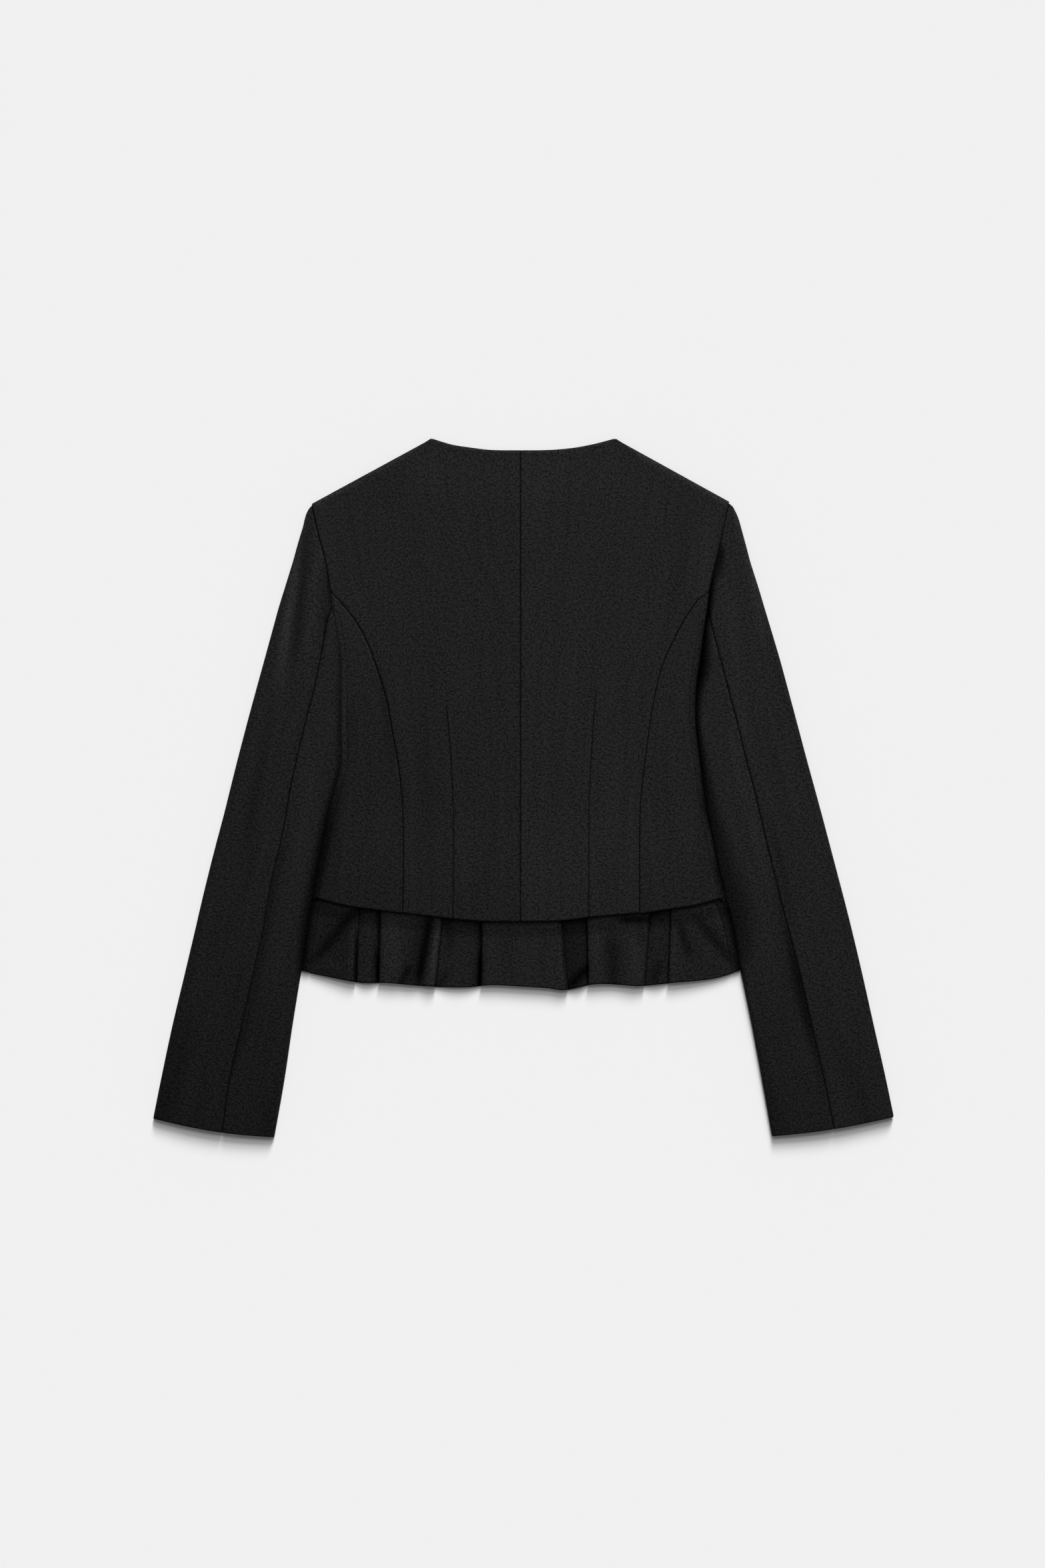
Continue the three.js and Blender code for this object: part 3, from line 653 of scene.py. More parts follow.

# %% [markdown]
# ## The back
# The back is four pieces: two by the centre seam and two at the sides, joined by the princess
# seams that come out of the armholes. Each centre piece is pinched by a dart below the shoulder
# blade. Their rows run from the shoulder and neckline to the hem, and stay level at the armhole.

# %% Back centre
# The light of a crease is painted highlight or shade in the wool's colour.
BACK_CREASES = [  # start, end, half width, height, light
    ((-175, 75), (-178, 190), 9, 0.25, 0.03),
    ((-98, 20), (-102, 120), 7, 0.16, -0.05),
    ((-140, 10), (-118, 70), 9, -0.15, -0.07),
    ((-93, 140), (-86, 452), 11, -0.1, -0.11),
    ((-138, 180), (-118, 325), 5, -0.3, -0.22),
    ((-158, 225), (-166, 305), 6, -0.15, -0.12),
    ((-164, 235), (-184, 440), 8, -0.25, -0.15),
    ((-46, 330), (-52, 440), 10, 0.15, 0.04),
    ((60, 110), (52, 260), 9, 0.14, 0.03),
    ((155, 30), (149, 190), 7, -0.2, -0.09),
    ((180, 52), (169, 160), 8, 0.3, 0.15),
    ((140, 210), (152, 360), 10, 0.25, 0.06),
    ((84, 250), (86, 400), 9, 0.1, 0.06),
    ((172, 300), (182, 440), 7, -0.25, -0.12),
]
DART = 0.575  # place of the dart across the piece, from the centre-back seam
DART_FADE = 14  # length over which the dart begins
SEAM_TUCK = 0.4  # the left half's edge reaches under the right half's, so the seam is closed
SHOULDER_TURN = 6  # past the neck point, how soon the edge is turned under
HEM_TIGHT = 16  # how far above the hem there begins to be less room, over the tucked-in peplum
HEM_TIGHT_BLEND = 5
DIP_AT_HEM = 0.5  # share of a seam's dip that there is room for in that part


def back_cloth(side, out, down, dip):
    """Height of the back with its seams and creases, and the light that its creases add."""
    x = side.sign * out
    at_hem = ease((down - (bodice_hem(x) - HEM_TIGHT)) / HEM_TIGHT_BLEND)
    soft, glow = creased(x, down, BACK_CREASES)
    return back_height(side, out, down) - dip * mix(1, DIP_AT_HEM, at_hem) + soft, glow


def armhole_line(side, level):
    """Depth of the painted shade in the armhole and princess seams. On the left it fades at the underarm."""
    if side is right:
        return 0.85
    return varied(level, (110, 0.85), (130, 0.4), (142, 0.45), (170, 0.85))


def back_centre(side):
    """A piece beside the centre-back seam, with its waist dart."""
    u = lines(96, (0.1, 0.012), (0.5, 0.552), (0.62, 0.598), (0.9, 0.986))[None, :]
    share = lines(196, (0.07, 0.009), (0.15, 0.03), (0.95, 0.988))[:, None]
    level = mix(side.shoulder_down, PRINCESS_HEM, share)
    edge = np.where(level < PRINCESS_TOP, side.inner(level), side.princess(level))
    shoulder = side.inner(side.shoulder_down)
    hem_width = side.princess(PRINCESS_HEM)
    turned = BODY_WALL / 2 * ease((u * shoulder - side.neck_point) / SHOULDER_TURN)
    upright = mix(top_edge(side, u * shoulder) + turned, bodice_hem(side.sign * u * hem_width), share)
    down = upright + u * (level - upright[:, -1:])
    start = SEAM_GAP / 2 - (SEAM_TUCK if side is left else 0)
    out = mix(start, edge - SEAM_GAP / 2, u)
    x = side.sign * out
    to_dart = np.abs(u - DART) * (edge - SEAM_GAP)
    in_dart = ease((down - side.dart_tip) / DART_FADE)
    dip = roll_in(out) + roll_in(edge - out) + roll_in(to_dart, depth=0.85, reach=1.8) * in_dart
    if side is left:
        dip = dip + roll_in(out - start, depth=0.6, reach=0.9)
    height, glow = back_cloth(side, out, down, dip)
    at_edge = lit(edge - out, armhole_line(side, down))
    # Painted shade in the centre seam, the armhole or princess seam and the dart, and the creases' painted
    # light.
    light = lit(out - start, depth=0.93, reach=1.7) * at_edge * mix(1, lit(to_dart), in_dart) + glow
    lay(f"back_centre_{side.name}", x, down, height, BODY_WALL, light)


for side in (left, right):
    back_centre(side)

# %% Back side
SIDE_SEAM_INSET = 5.5
SIDE_GAP = 0.12  # the side seam is pressed closed
UNDERARM_INSET = 1.2
SIDE_TOP = 136.2  # level of the piece's top corner, just under the top of the princess seam
HEM_CORNER = 194  # out from the centre back to the side of the bodice hem
SIDE_SEAM_SHOWS = 360  # level from which the left side seam begins to show
SIDE_SEAM_BLEND = 40


def towards_hem(side, level):
    """Share of the hem's slope that the row at this level takes on."""
    return ((level - side.shoulder_down) / (PRINCESS_HEM - side.shoulder_down)) ** 2


def side_seam_level(side, level):
    """The level at the side seam of the row that starts at "level" at the princess seam."""
    rise = bodice_hem(side.sign * HEM_CORNER) - PRINCESS_HEM
    return level + rise * towards_hem(side, level)


def side_inset(level):
    """How far in from the side fold the side seam lies: it comes out of the underarm."""
    return mix(UNDERARM_INSET, SIDE_SEAM_INSET, ease((level - UNDERARM) / 5))


def beside_sleeve(side, level):
    """Depth and reach of the painted shade along the body's edge, where it turns down to the sleeve."""
    if side is right:
        depth = varied(level, (155, 0), (170, 0.5), (270, 0.5), (340, 0.8), (370, 0.65), (400, 0.8))
        return depth, varied(level, (320, 5), (340, 8), (362, 4.5), (384, 4.5), (402, 8), (441, 6))
    depth = varied(level, (280, 0), (300, 0.4), (330, 0.5), (360, 0.85))
    return depth, varied(level, (300, 4), (330, 14), (360, 15), (400, 14), (441, 10))


def back_side(side):
    """A piece between the princess seam and the side seam."""
    u = lines(48, (0.16, 0.035), (0.84, 0.965))[None, :]
    level = mix(SIDE_TOP, PRINCESS_HEM, lines(160, (0.12, 0.055), (0.94, 0.985)))[:, None]
    outer_level = side_seam_level(side, level)
    start = side.princess(level) + SEAM_GAP / 2
    at_armhole = outer_level < UNDERARM
    inset = np.where(at_armhole, 0, side_inset(outer_level) + SIDE_GAP)
    end = body_edge(side, outer_level) - inset
    hem_start = side.princess(PRINCESS_HEM)
    hem = bodice_hem(side.sign * mix(hem_start, HEM_CORNER, u))
    level_hem = mix(bodice_hem(side.sign * hem_start), PRINCESS_HEM, 1 - u)
    down = level + (hem - level_hem) * towards_hem(side, level)
    out = mix(start, end, u)
    shows = ease((outer_level - SIDE_SEAM_SHOWS) / SIDE_SEAM_BLEND) * (side is left)
    dip = roll_in(out - start) + roll_in(end - out, np.where(at_armhole, 0.6, mix(0.03, 0.5, shows)))
    height, glow = back_cloth(side, out, down, dip)
    # Painted shade in the seams and beside the sleeve, and the creases' painted light.
    at_side = lit(end - out, np.where(at_armhole, armhole_line(side, level), mix(0.05, 0.55, shows)))
    light = lit(out - start, varied(level, (136, 0.85), (300, 0.85), (400, 0.7))) * at_side + glow
    light = light * lit(body_edge(side, outer_level) - out, *beside_sleeve(side, outer_level))
    lay(f"back_side_{side.name}", side.sign * out, down, height, BODY_WALL, light)


for side in (left, right):
    back_side(side)

# %% [markdown]
# ## The fronts
# A front lies under the back. It turns up round the side of the body and meets the back at the
# side seam, which so lies on top, a few millimetres in from the fold. Its neckline is cut much
# lower than the back's. The run of cloth over a fold is the same for the fronts, the sleeves and
# the peplum, so one function gives it: along the upper layer, round the fold, and back.
#
# The sleeve's fold lies against the body's, and hardly any light comes through there. So the
# body's fold bulges near its top, the sleeve's fold near the floor, and the sleeve reaches a
# hair's breadth under the body.


# %% A run of cloth over a fold
def folded(seam, edge, end, heights, reaches, wall, counts, power=2.0):
    """Distances out and heights, from a seam on the upper layer round a fold to the lower end.

    "heights" are those of the upper layer, the tip of the fold and the lower layer. "reaches"
    say how far in from the tip the fold begins above and below. With a power under 2 the cloth
    runs straighter from the tip to the lower layer.
    """
    upper, tip, lower = heights
    way = np.sign(edge - end)
    tip_out = edge - way * wall / 2
    above, below = tip_out - way * reaches[0], tip_out - way * reaches[1]
    angle = np.pi / 2 * np.linspace(0, 1, counts[1])[1:]
    squeezed = 2 / power
    runs = [
        (mix(seam, above, lines(counts[0], (0.3, 0.06))), upper),
        (mix(above, tip_out, np.sin(angle)), tip + (upper - tip) * np.cos(angle)),
        (mix(below, tip_out, np.cos(angle) ** squeezed), tip - (tip - lower) * np.sin(angle) ** squeezed),
        (mix(below, end, lines(counts[2], (0.85, 0.97))[1:]), lower),
    ]
    out = np.concatenate([run for run, _ in runs], axis=1)
    height = np.concatenate([level + 0 * run for run, level in runs], axis=1)
    return out, height


strip, _ = folded(np.array([[0.0]]), np.array([[9.0]]), 0.0, (5, 3, 0.7), (3, 3), 1.4, (2, 4, 2))
print("A strip that turns back at 9 mm lies at", strip[0].round(1), "mm")

# %% Fronts
FRONT_HEIGHT = BODY_WALL / 2
FRONT_NECK_DEPTH = 95
FRONT_MEETING = 3  # the fronts meet this far to the right of the centre back
BODY_BULGE = 1.1  # how far below the upper layer the tip of the side fold is
BODY_FOLD = (3.4, 4.5)  # how far in from the tip the fold begins above and below
ARMHOLE_TUCK = 1.3  # so that no floor shows through the armhole
ARMHOLE_STRIP = 7.2
ELSEWHERE = 99  # a distance that is out of the reach of every roll and shade


def centre_out(side):
    """Out to where a front ends at the centre front."""
    return SEAM_GAP / 2 + side.sign * FRONT_MEETING


def front_neckline(side, out):
    """Level of the front neckline, a hollow curve up to the neck point."""
    reach = np.clip(out / side.neck_point, 0, 1)
    return FRONT_NECK_DEPTH - (FRONT_NECK_DEPTH - side.neck_down) * (1 - np.sqrt(1 - reach**2.2))


def front(side):
    """A front, flat above the underarm, and from there down turned up round the side fold."""
    counts = (10, 9, 44)  # lines on the upper layer, on each half of the fold and on the lower layer
    on_fold = counts[0] + 2 * (counts[1] - 1) - 1  # index of the last point of the fold
    shoulder = side.inner(side.shoulder_down) - SEAM_GAP
    above = np.linspace(side.shoulder_down, UNDERARM - 0.2, 42)[:, None]
    below = side_seam_level(side, mix(UNDERARM - 0.3, PRINCESS_HEM, lines(112, (0.08, 0.02), (0.95, 0.99))))
    below = below[:, None]  # the first of these rows lies at the underarm

    edge = side.inner(above) - ARMHOLE_TUCK
    near = edge - ARMHOLE_STRIP * np.linspace(0, 1, on_fold + 1)
    rest = mix(near[:, -1:], centre_out(side), lines(counts[2], (0.85, 0.97))[1:])
    flat_out = np.concatenate([near, rest], axis=1)

    edge, inset = body_edge(side, below), side_inset(below)
    upper = back_height(side, edge - inset, below)
    bulge = varied(below, (163, 0.5), (188, BODY_BULGE)) if side is left else BODY_BULGE
    heights = (upper, upper - bulge, FRONT_HEIGHT)
    reaches = (np.minimum(BODY_FOLD[0], inset - 0.8), BODY_FOLD[1])
    fold_out, fold_height = folded(
        edge - inset, edge, centre_out(side), heights, reaches, BODY_WALL, counts, power=1.35
    )
    from_seam = np.abs(fold_out - fold_out[:, :1])
    from_seam[:, on_fold:] = ELSEWHERE

    out = np.concatenate([flat_out, fold_out])
    height = np.concatenate([np.full_like(flat_out, FRONT_HEIGHT), fold_height])
    row_level = np.concatenate([above, below])
    share = (row_level - side.shoulder_down) / (below[-1] - side.shoulder_down)
    u = 1 - np.maximum(np.arange(out.shape[1]) - on_fold, 0) / (counts[2] - 1)
    u = np.interp(u, *zip((0, 0), (0.15, 0.03), (1, 1)))[None, :]
    top_out = u * shoulder
    top = np.where(top_out > side.neck_point, top_edge(side, top_out) + 0.3, front_neckline(side, top_out))
    spread = mix(top, bodice_hem(side.sign * u * HEM_CORNER), share)
    down = np.where(np.arange(out.shape[1])[None, :] <= on_fold, row_level, spread)
    light = np.ones_like(out)
    # Painted shade in the side seam and beside the sleeve.
    light[len(above) :] = lit(from_seam, 0.05) * lit(edge - fold_out, *beside_sleeve(side, below))
    lay(f"front_{side.name}", side.sign * out, down, height, BODY_WALL, light)


for side in (left, right):
    front(side)

# %% [markdown]
# ## The sleeves
# A tailored sleeve is a tube of two pieces, a wide top sleeve and a narrow under sleeve, so that
# it can bend at the elbow. Laid flat, it folds along its outer and its inner edge, and the back
# seam runs down the upper layer. The cuff slopes, so a line across the sleeve does too.
#
# The two lie differently. The right sleeve drops away from the armhole and from the body, which
# leaves a broad hollow there, darkened with painted shade. The left one lies up against the body
# as far as the waist.

# %% Lines across a sleeve
SLEEVE_WALL = 1.4
SLEEVE_HEIGHT = 5
SLEEVE_FOLD = 2.6  # height of the tip of its outer fold
SLEEVE_TOP = (1.5, 4.6)  # how far below the shoulder's level its inner and its outer edge begin
SLEEVE_CROWN = 0.6  # how much higher the middle of the upper layer is
CROWN_FADE = 60  # level from which the crown rises, and length over which it does
# The light of a crease is painted highlight or shade in the wool's colour.
SLEEVE_CREASES = {  # start, end, half width, height, light
    "left": [
        ((-192, 70), (-206, 235), 4, 0.4, 0.26),
        ((-199, 46), (-220, 232), 4.5, -0.45, -0.32),
        ((-209, 78), (-235, 245), 4.5, 0.7, 0.6),
        ((-182, 108), (-190, 210), 3.5, -0.25, -0.2),
        ((-222, 190), (-240, 315), 5, 0.25, 0.12),
        ((-228, 212), (-273, 420), 6.5, -0.35, -0.2),
        ((-249, 320), (-264, 440), 6, -0.25, -0.12),
        ((-264, 460), (-287, 610), 6, -0.2, -0.08),
        ((-312, 520), (-350, 680), 11, -0.3, -0.2),
        ((-186, 225), (-242, 570), 8, 0.25, 0.13),
        ((-226, 390), (-264, 570), 5, -0.25, -0.02),
        ((-246, 600), (-236, 690), 7, -0.1, -0.14),
    ],
    "right": [
        ((196, 84), (190.5, 128), 3.5, -0.5, -0.3),
        ((197, 112), (207, 220), 6, 0.2, 0.12),
        ((216, 86), (236, 205), 4.5, 0.5, 0.26),
        ((199, 175), (220, 310), 7, 0.2, 0.1),
        ((225, 230), (251, 340), 6, -0.25, -0.1),
        ((239, 342), (264, 476), 5, -0.35, -0.22),
        ((191, 228), (240, 446), 6, 0.35, 0.16),
        ((252, 448), (282, 596), 7, -0.5, -0.04),
        ((296, 545), (342, 670), 12, -0.2, -0.14),
        ((222, 480), (248, 680), 4, -0.2, -0.12),
        ((243, 590), (252, 690), 9, -0.1, -0.12),
    ],
}


def across_sleeve(side, inner_down):
    """Where the line across the sleeve from "inner_down" on its inner edge runs."""
    inner_top, outer_top = (side.shoulder_down + below for below in SLEEVE_TOP)
    share = (inner_down - inner_top) / (side.cuff_inner - inner_top)
    outer_down = mix(outer_top, side.cuff_outer, share)
    inner, outer = sleeve_edge(side, inner_down), side.outer(outer_down)
    bow = side.cuff_bow * ease(share * 1.2 - 0.2)

    def down_at(out):
        t = (out - inner) / (outer - inner)
        return mix(inner_down, outer_down, t) + bow * np.sin(np.pi * np.clip(t, 0, 1))

    seam = side.seam(inner_down)
    for _ in range(4):
        seam = side.seam(down_at(seam))
    front_seam = inner + 0.5 * (seam - inner)
    return inner, outer, seam, front_seam, down_at


def sleeve_crown(inner, outer, out, inner_down):
    """How much higher the upper layer is than at its edges."""
    t = np.clip((out - inner) / (outer - inner), 0, 1)
    return SLEEVE_CROWN * np.sin(np.pi * t) * ease((inner_down - CROWN_FADE) / CROWN_FADE)


creases = {name: len(table) for name, table in SLEEVE_CREASES.items()}
print("Creases on the left and the right sleeve:", creases["left"], "and", creases["right"])


# %% Shades on a sleeve
def beside_body(side, level):
    """Reach of the sleeve's inner roll, and width and depth of the painted shadow beside the body."""
    if side is right:
        roll = varied(level, (205, 6), (250, 3.6))
        width = varied(
            level, (150, 6.5), (170, 8.5), (185, 12), (202, 16), (212, 17), (229, 11), (245, 8.5),
            (265, 8), (300, 11), (340, 17), (380, 26), (420, 32), (440, 32), (480, 20), (500, 10),
        )
        depth = varied(
            level, (216, 0.95), (232, 0.86), (300, 0.84), (340, 0.72), (380, 0.62), (400, 0.58),
            (460, 0.56), (480, 0.48), (497, 0.25), (512, 0),
        )
        return roll, width, depth
    roll = varied(level, (150, 0.5), (172, 0.6), (200, 1.5), (288, 1.6), (318, 4.4))
    width = varied(level, (172, 2.5), (200, 5), (235, 7), (288, 7), (330, 9), (460, 11), (500, 8))
    depth = varied(
        level, (152, 0), (168, 0.1), (185, 0.4), (235, 0.5), (300, 0.58), (340, 0.7), (488, 0.75), (512, 0)
    )
    return roll, width, depth


def beside_armhole(side, level):
    """The same for the sleeve beside the armhole seam, where the right sleeve drops away."""
    if side is right:
        dip = varied(level, (84, 0.8), (98, 1.4), (146, 1.5), (162, 0.8))
        width = varied(
            level, (80, 1.2), (88, 2.5), (92, 4.5), (97, 8.5), (104, 9.5), (112, 10),
            (120, 9), (130, 8.2), (148, 8.2), (158, 3.5), (168, 1.2),
        )
        depth = varied(level, (80, 0.85), (90, 0.75), (112, 0.78), (130, 0.93), (150, 0.93), (168, 0.85))
        return dip, 4 * dip / 1.5, depth, width
    dip = varied(level, (110, 0.8), (130, 0.45), (160, 0.3), (185, 0.8))
    width = varied(level, (110, 1.2), (130, 5), (158, 5.5), (180, 1.3))
    depth = varied(level, (110, 0.85), (130, 0.5), (150, 0.4), (165, 0.4), (184, 0.85))
    return dip, 1.9 + 0 * dip, depth, width


def back_seam(side, level):
    """How dark the painted shade in the sleeve's back seam is, and depth and reach of the painted shade on
    its inner side.
    """
    if side is right:
        line = varied(level, (380, 0.85), (420, 0.4), (590, 0.4), (630, 0.65))
        depth = varied(
            level, (400, 0), (430, 0.33), (470, 0.52), (510, 0.68), (550, 0.6), (600, 0.35), (635, 0)
        )
        return line, depth, varied(level, (430, 7), (470, 12), (510, 19), (550, 14), (600, 6))
    line = varied(level, (360, 0.85), (385, 0.35), (530, 0.35), (600, 0.6))
    depth = varied(level, (365, 0), (385, 0.28), (560, 0.34), (590, 0.3), (615, 0))
    return line, depth, varied(level, (365, 6), (410, 14), (440, 14), (500, 10), (560, 12), (590, 8))


print(f"The right back seam is {float(across_sleeve(right, 510)[2]):.0f} mm out where its shade is deepest")

# %% Top sleeves and under sleeves
SEAM_START = 150  # level where the back seam leaves the armhole
# The shade beside the body is painted into the colour.
CORE = {"left": 0, "right": 0.14}  # share of the shade beside the body that is full shade
OUTER_ROLL = (5.5, 2.2)  # how far in from its tip the outer fold begins above and below
INNER_TIP = 1.35  # height of the tip of the inner fold
INNER_TURN = 1.4  # how far in from its tip the inner fold begins below
LOWER_TUCK = 1.0  # how far under the body its lower layer reaches above the back seam's start


def room_for(reach, space):
    """The reach of a roll, or less where there is little space before the seam."""
    return np.minimum(reach, np.maximum(space - SLEEVE_WALL / 2 - 0.15, 0.1))


def seen_from_above(out, counts):
    """Which places of a run over a fold are on its upper side, as far as just past the tip."""
    return np.arange(out.shape[1])[None, :] < counts[0] + counts[1]


def top_sleeve(side, levels):
    """The wide piece, from the back seam out, round the outer fold and in again below."""
    inner, outer, seam, front_seam, down_at = across_sleeve(side, levels)
    below = levels > SEAM_START
    start = np.where(below, np.maximum(seam + SEAM_GAP / 2, inner), inner)
    end = np.where(below, front_seam + SEAM_GAP / 2, inner - LOWER_TUCK)
    heights = (SLEEVE_HEIGHT, SLEEVE_FOLD, SLEEVE_WALL / 2)
    reaches = (room_for(OUTER_ROLL[0], outer - start), room_for(OUTER_ROLL[1], outer - end))
    counts = (52, 12, 40)
    out, height = folded(start, outer, end, heights, reaches, SLEEVE_WALL, counts)
    from_seam = np.where(seen_from_above(out, counts), np.abs(out - start), ELSEWHERE)
    depth, reach, dark, dark_reach = beside_armhole(side, levels)
    dark = np.where(levels > 200, back_seam(side, levels)[0], dark)
    core = CORE[side.name] * varied(levels, (112, 0), (130, 1), (150, 1), (166, 0))
    # Painted shade beside the armhole or back seam and near the outer fold.
    at_outside = lit(outer - out, varied(levels, (110, 0), (165, 0.2)), 10)
    light = lit(from_seam, dark, dark_reach, core) * at_outside
    dip = roll_in(from_seam, depth, reach)
    return inner, outer, out, height, down_at, dip, light


def under_sleeve(side, levels):
    """The narrow piece, from the back seam in, round the inner fold and out again below."""
    inner, outer, seam, front_seam, down_at = across_sleeve(side, levels)
    start, end = seam - SEAM_GAP / 2, front_seam - SEAM_GAP / 2
    roll, dark_reach, dark = beside_body(side, levels)
    tucked = varied(levels, (420, 0.8), (425, 1.9), (433, 1.9), (440, 0.45), (492, 0.45), (508, 0))
    tip = INNER_TIP + 0 * levels
    if side is left:  # at the underarm it runs on from the body, edge to edge
        tucked = tucked * varied(levels, (165, 0), (185, 1))
        tip = varied(levels, (163, 4.3), (188, INNER_TIP))
    edge = inner - tucked
    heights = (SLEEVE_HEIGHT, tip, SLEEVE_WALL / 2)
    reaches = (room_for(roll, start - edge), room_for(INNER_TURN, end - edge))
    counts = (34, 12, 20)
    out, height = folded(start, edge, end, heights, reaches, SLEEVE_WALL, counts)
    on_top = seen_from_above(out, counts)
    from_seam = np.where(on_top, np.abs(out - start), ELSEWHERE)
    from_body = np.where(on_top, out - inner, ELSEWHERE)
    line, shade, shade_reach = back_seam(side, levels)
    # Painted shade at the back seam and beside the body.
    light = lit(from_seam, line) * lit(from_seam, shade, shade_reach)
    light = light * lit(from_body, dark, dark_reach, CORE[side.name])
    return inner, outer, out, height, down_at, roll_in(from_seam), light


def sleeve(side, part, make, levels):
    """Lays one piece of a sleeve, with the crown and the creases of its upper layer."""
    inner, outer, out, height, down_at, dip, light = make(side, levels)
    down = down_at(out)
    x = side.sign * out
    high = np.clip((height - SLEEVE_FOLD) / (SLEEVE_HEIGHT - SLEEVE_FOLD), 0, 1)
    soft, glow = creased(x, down, SLEEVE_CREASES[side.name])
    soft = soft + sleeve_crown(inner, outer, out, levels)
    lay(f"sleeve_{part}_{side.name}", x, down, height + (soft - dip) * high, SLEEVE_WALL, light + glow * high)


for side in (left, right):
    top = side.shoulder_down + SLEEVE_TOP[0]
    top_levels = mix(top, side.cuff_inner, lines(236, (0.08, 0.015), (0.96, 0.993)))[:, None]
    sleeve(side, "top", top_sleeve, top_levels)
    under_levels = mix(SEAM_START + 0.2, side.cuff_inner, lines(196, (0.05, 0.012), (0.96, 0.993)))[:, None]
    sleeve(side, "under", under_sleeve, under_levels)

# %% [markdown]
# ## The peplum
# The peplum hangs from inside the bodice hem. Its back is one strip with four inverted pleats:
# at each, the cloth turns back under the left panel, runs across as a hidden underlay, and turns
# back under the right panel. So the strip is three layers thick beside each pleat, and the
# panels lie higher than the underlays. The pleats are hardly pressed: the panels roll softly
# towards their folds, the underlays lie in their shade, which is painted, and creases run down
# from the seam.

# %% Peplum levels
PEPLUM_WALL = 1.1
PLEAT_TURN = (PEPLUM_WALL + 0.3) / 2  # radius of a fold, in the middle of the cloth
UNDERFOLD = 13
UNDERLAY_LIFT = 1.6
PEPLUM_TUCK = 10
PEPLUM_LIFT = (3.1, 1.4)  # under the bodice hem, where it lies on the fronts, and at its own hem
SIDE_LEVEL = 1.5  # height of its sides above that
PEPLUM_SINK = (2, 15)  # how far below the bodice hem it begins to sink, and over what length
CREASE_START = (0.5, 7)  # the same for its creases
PEPLUM_ROOM = 1.2  # between it and the inside of the body's side fold
PEPLUM_SIDE = 205  # about how far out from the centre back the peplum's side is
PLEATS = [  # fold edges: left and right at the bodice hem, left and right at the peplum hem
    (-154.2, -132.5, -158.0, -134.5),
    (-73.9, -35.7, -81.6, -36.6),
    (37.6, 64.3, 45.4, 65.8),
    (124.2, 145.2, 118.6, 142.3),
]
# Painted light and shade of the panels, of the underlays, beside the folds and beside a sleeve.
PANEL_LIGHT = (0.58, 0.95, 0.9, 0.93, 0.8)
UNDERLAY_LIGHT = (0.74, 0.78, 0.54, 0.74)
UNDERLAY_SHADE = (7, 7.5, 4, 3.2)  # how far a right-hand panel's shade reaches
SLEEVE_SHADE = (0.78, 8.5)  # depth and width of the shade that a sleeve throws on the peplum
# start, end, half width, height, and painted light or shade in the wool's colour
PEPLUM_CREASES = [
    ((-146, 426), (-207, 500), 5.5, -1.0, -0.36),
    ((-157, 440), (-164, 514), 3, 0.4, 0.34),
    ((-156.5, 448), (-157.5, 530), 2.2, -0.2, -0.5),
    ((-190, 486), (-166, 500), 4, 0.3, 0.12),
    ((-138, 470), (-137, 518), 4, -0.2, -0.25),
    ((-81, 418), (-101, 534), 5, -1.3, -0.6),
    ((-90, 430), (-108, 534), 11, -0.4, -0.38),
    ((-76, 436), (-88, 528), 2.6, 0.7, 0.42),
    ((-103, 488), (-120, 518), 4, -0.5, -0.45),
    ((-125, 446), (-118, 518), 8, 0.4, 0.06),
    ((-70, 434), (-65, 488), 5, -0.2, -0.22),
    ((-67, 494), (-82, 519), 4, -0.3, -0.3),
    ((-37, 472), (-42, 524), 5, -0.2, -0.3),
    ((-15, 455), (-11, 518), 6, -0.2, -0.14),
    ((26, 455), (25, 518), 6, -0.1, -0.08),
    ((41, 518), (71, 487), 5, -0.4, -0.42),
    ((86, 447), (131, 449), 5, -1.1, -0.6),
    ((112, 450), (118, 478), 4, -0.3, -0.25),
    ((88, 450), (91, 536), 8.5, -0.5, -0.46),
    ((71, 444), (70, 522), 3, 0.3, 0.14),
    ((104, 456), (106, 522), 5, 0.5, 0.08),
    ((126, 438), (138, 452), 4, -0.3, -0.25),
    ((125, 514), (135, 484), 4.5, -0.4, -0.32),
    ((147, 440), (166, 494), 4.5, -0.5, -0.36),
    ((147, 442), (147, 518), 3, 0.4, 0.22),
    ((159, 436), (214, 504), 5, -0.9, -0.38),
    ((183, 438), (190, 458), 5, 0.2, 0.12),
    ((174, 472), (192, 492), 6, 0.2, 0.1),
]


def peplum_down(x, share):
    """The level at x of a row that is this share of the way down the peplum."""
    return mix(bodice_hem(x) - PEPLUM_TUCK, peplum_hem(x), share)


def below_bodice(x, down):
    """From 0 under the bodice to 1 where the peplum has sunk to its hem's height."""
    return ease((down - bodice_hem(x) - PEPLUM_SINK[0]) / PEPLUM_SINK[1])


def peplum_edge(side, down):
    """Out to the peplum's side: inside the body's fold above the bodice hem, and flush below."""
    tucked = 1 - ease((down - bodice_hem(side.sign * HEM_CORNER) + 0.6) / 1.6)
    return body_edge(side, down) - tucked * (BODY_WALL + PEPLUM_ROOM)


def peplum_creased(x, down):
    """Creases of the peplum. Under the bodice there is no room for them."""
    free = ease((down - bodice_hem(x) - CREASE_START[0]) / CREASE_START[1])
    soft, glow = creased(x, down, PEPLUM_CREASES)
    return soft * free, glow


def layer(n):
    """Height of the n-th layer of the folded strip, above its lowest level."""
    return PEPLUM_WALL / 2 + n * 2 * PLEAT_TURN


print(f"The peplum shows for {float(peplum_hem(0) - bodice_hem(0)):.0f} mm below the bodice")

# %% Back peplum
PEPLUM_SEAM_INSET = 8
PANEL_ROLL = (0.45, 4)  # how far, and over what width, a panel sinks towards its folds
PEPLUM_ROWS = lines(60, (0.12, 0.1), (0.35, 0.3), (0.92, 0.975))[:, None]


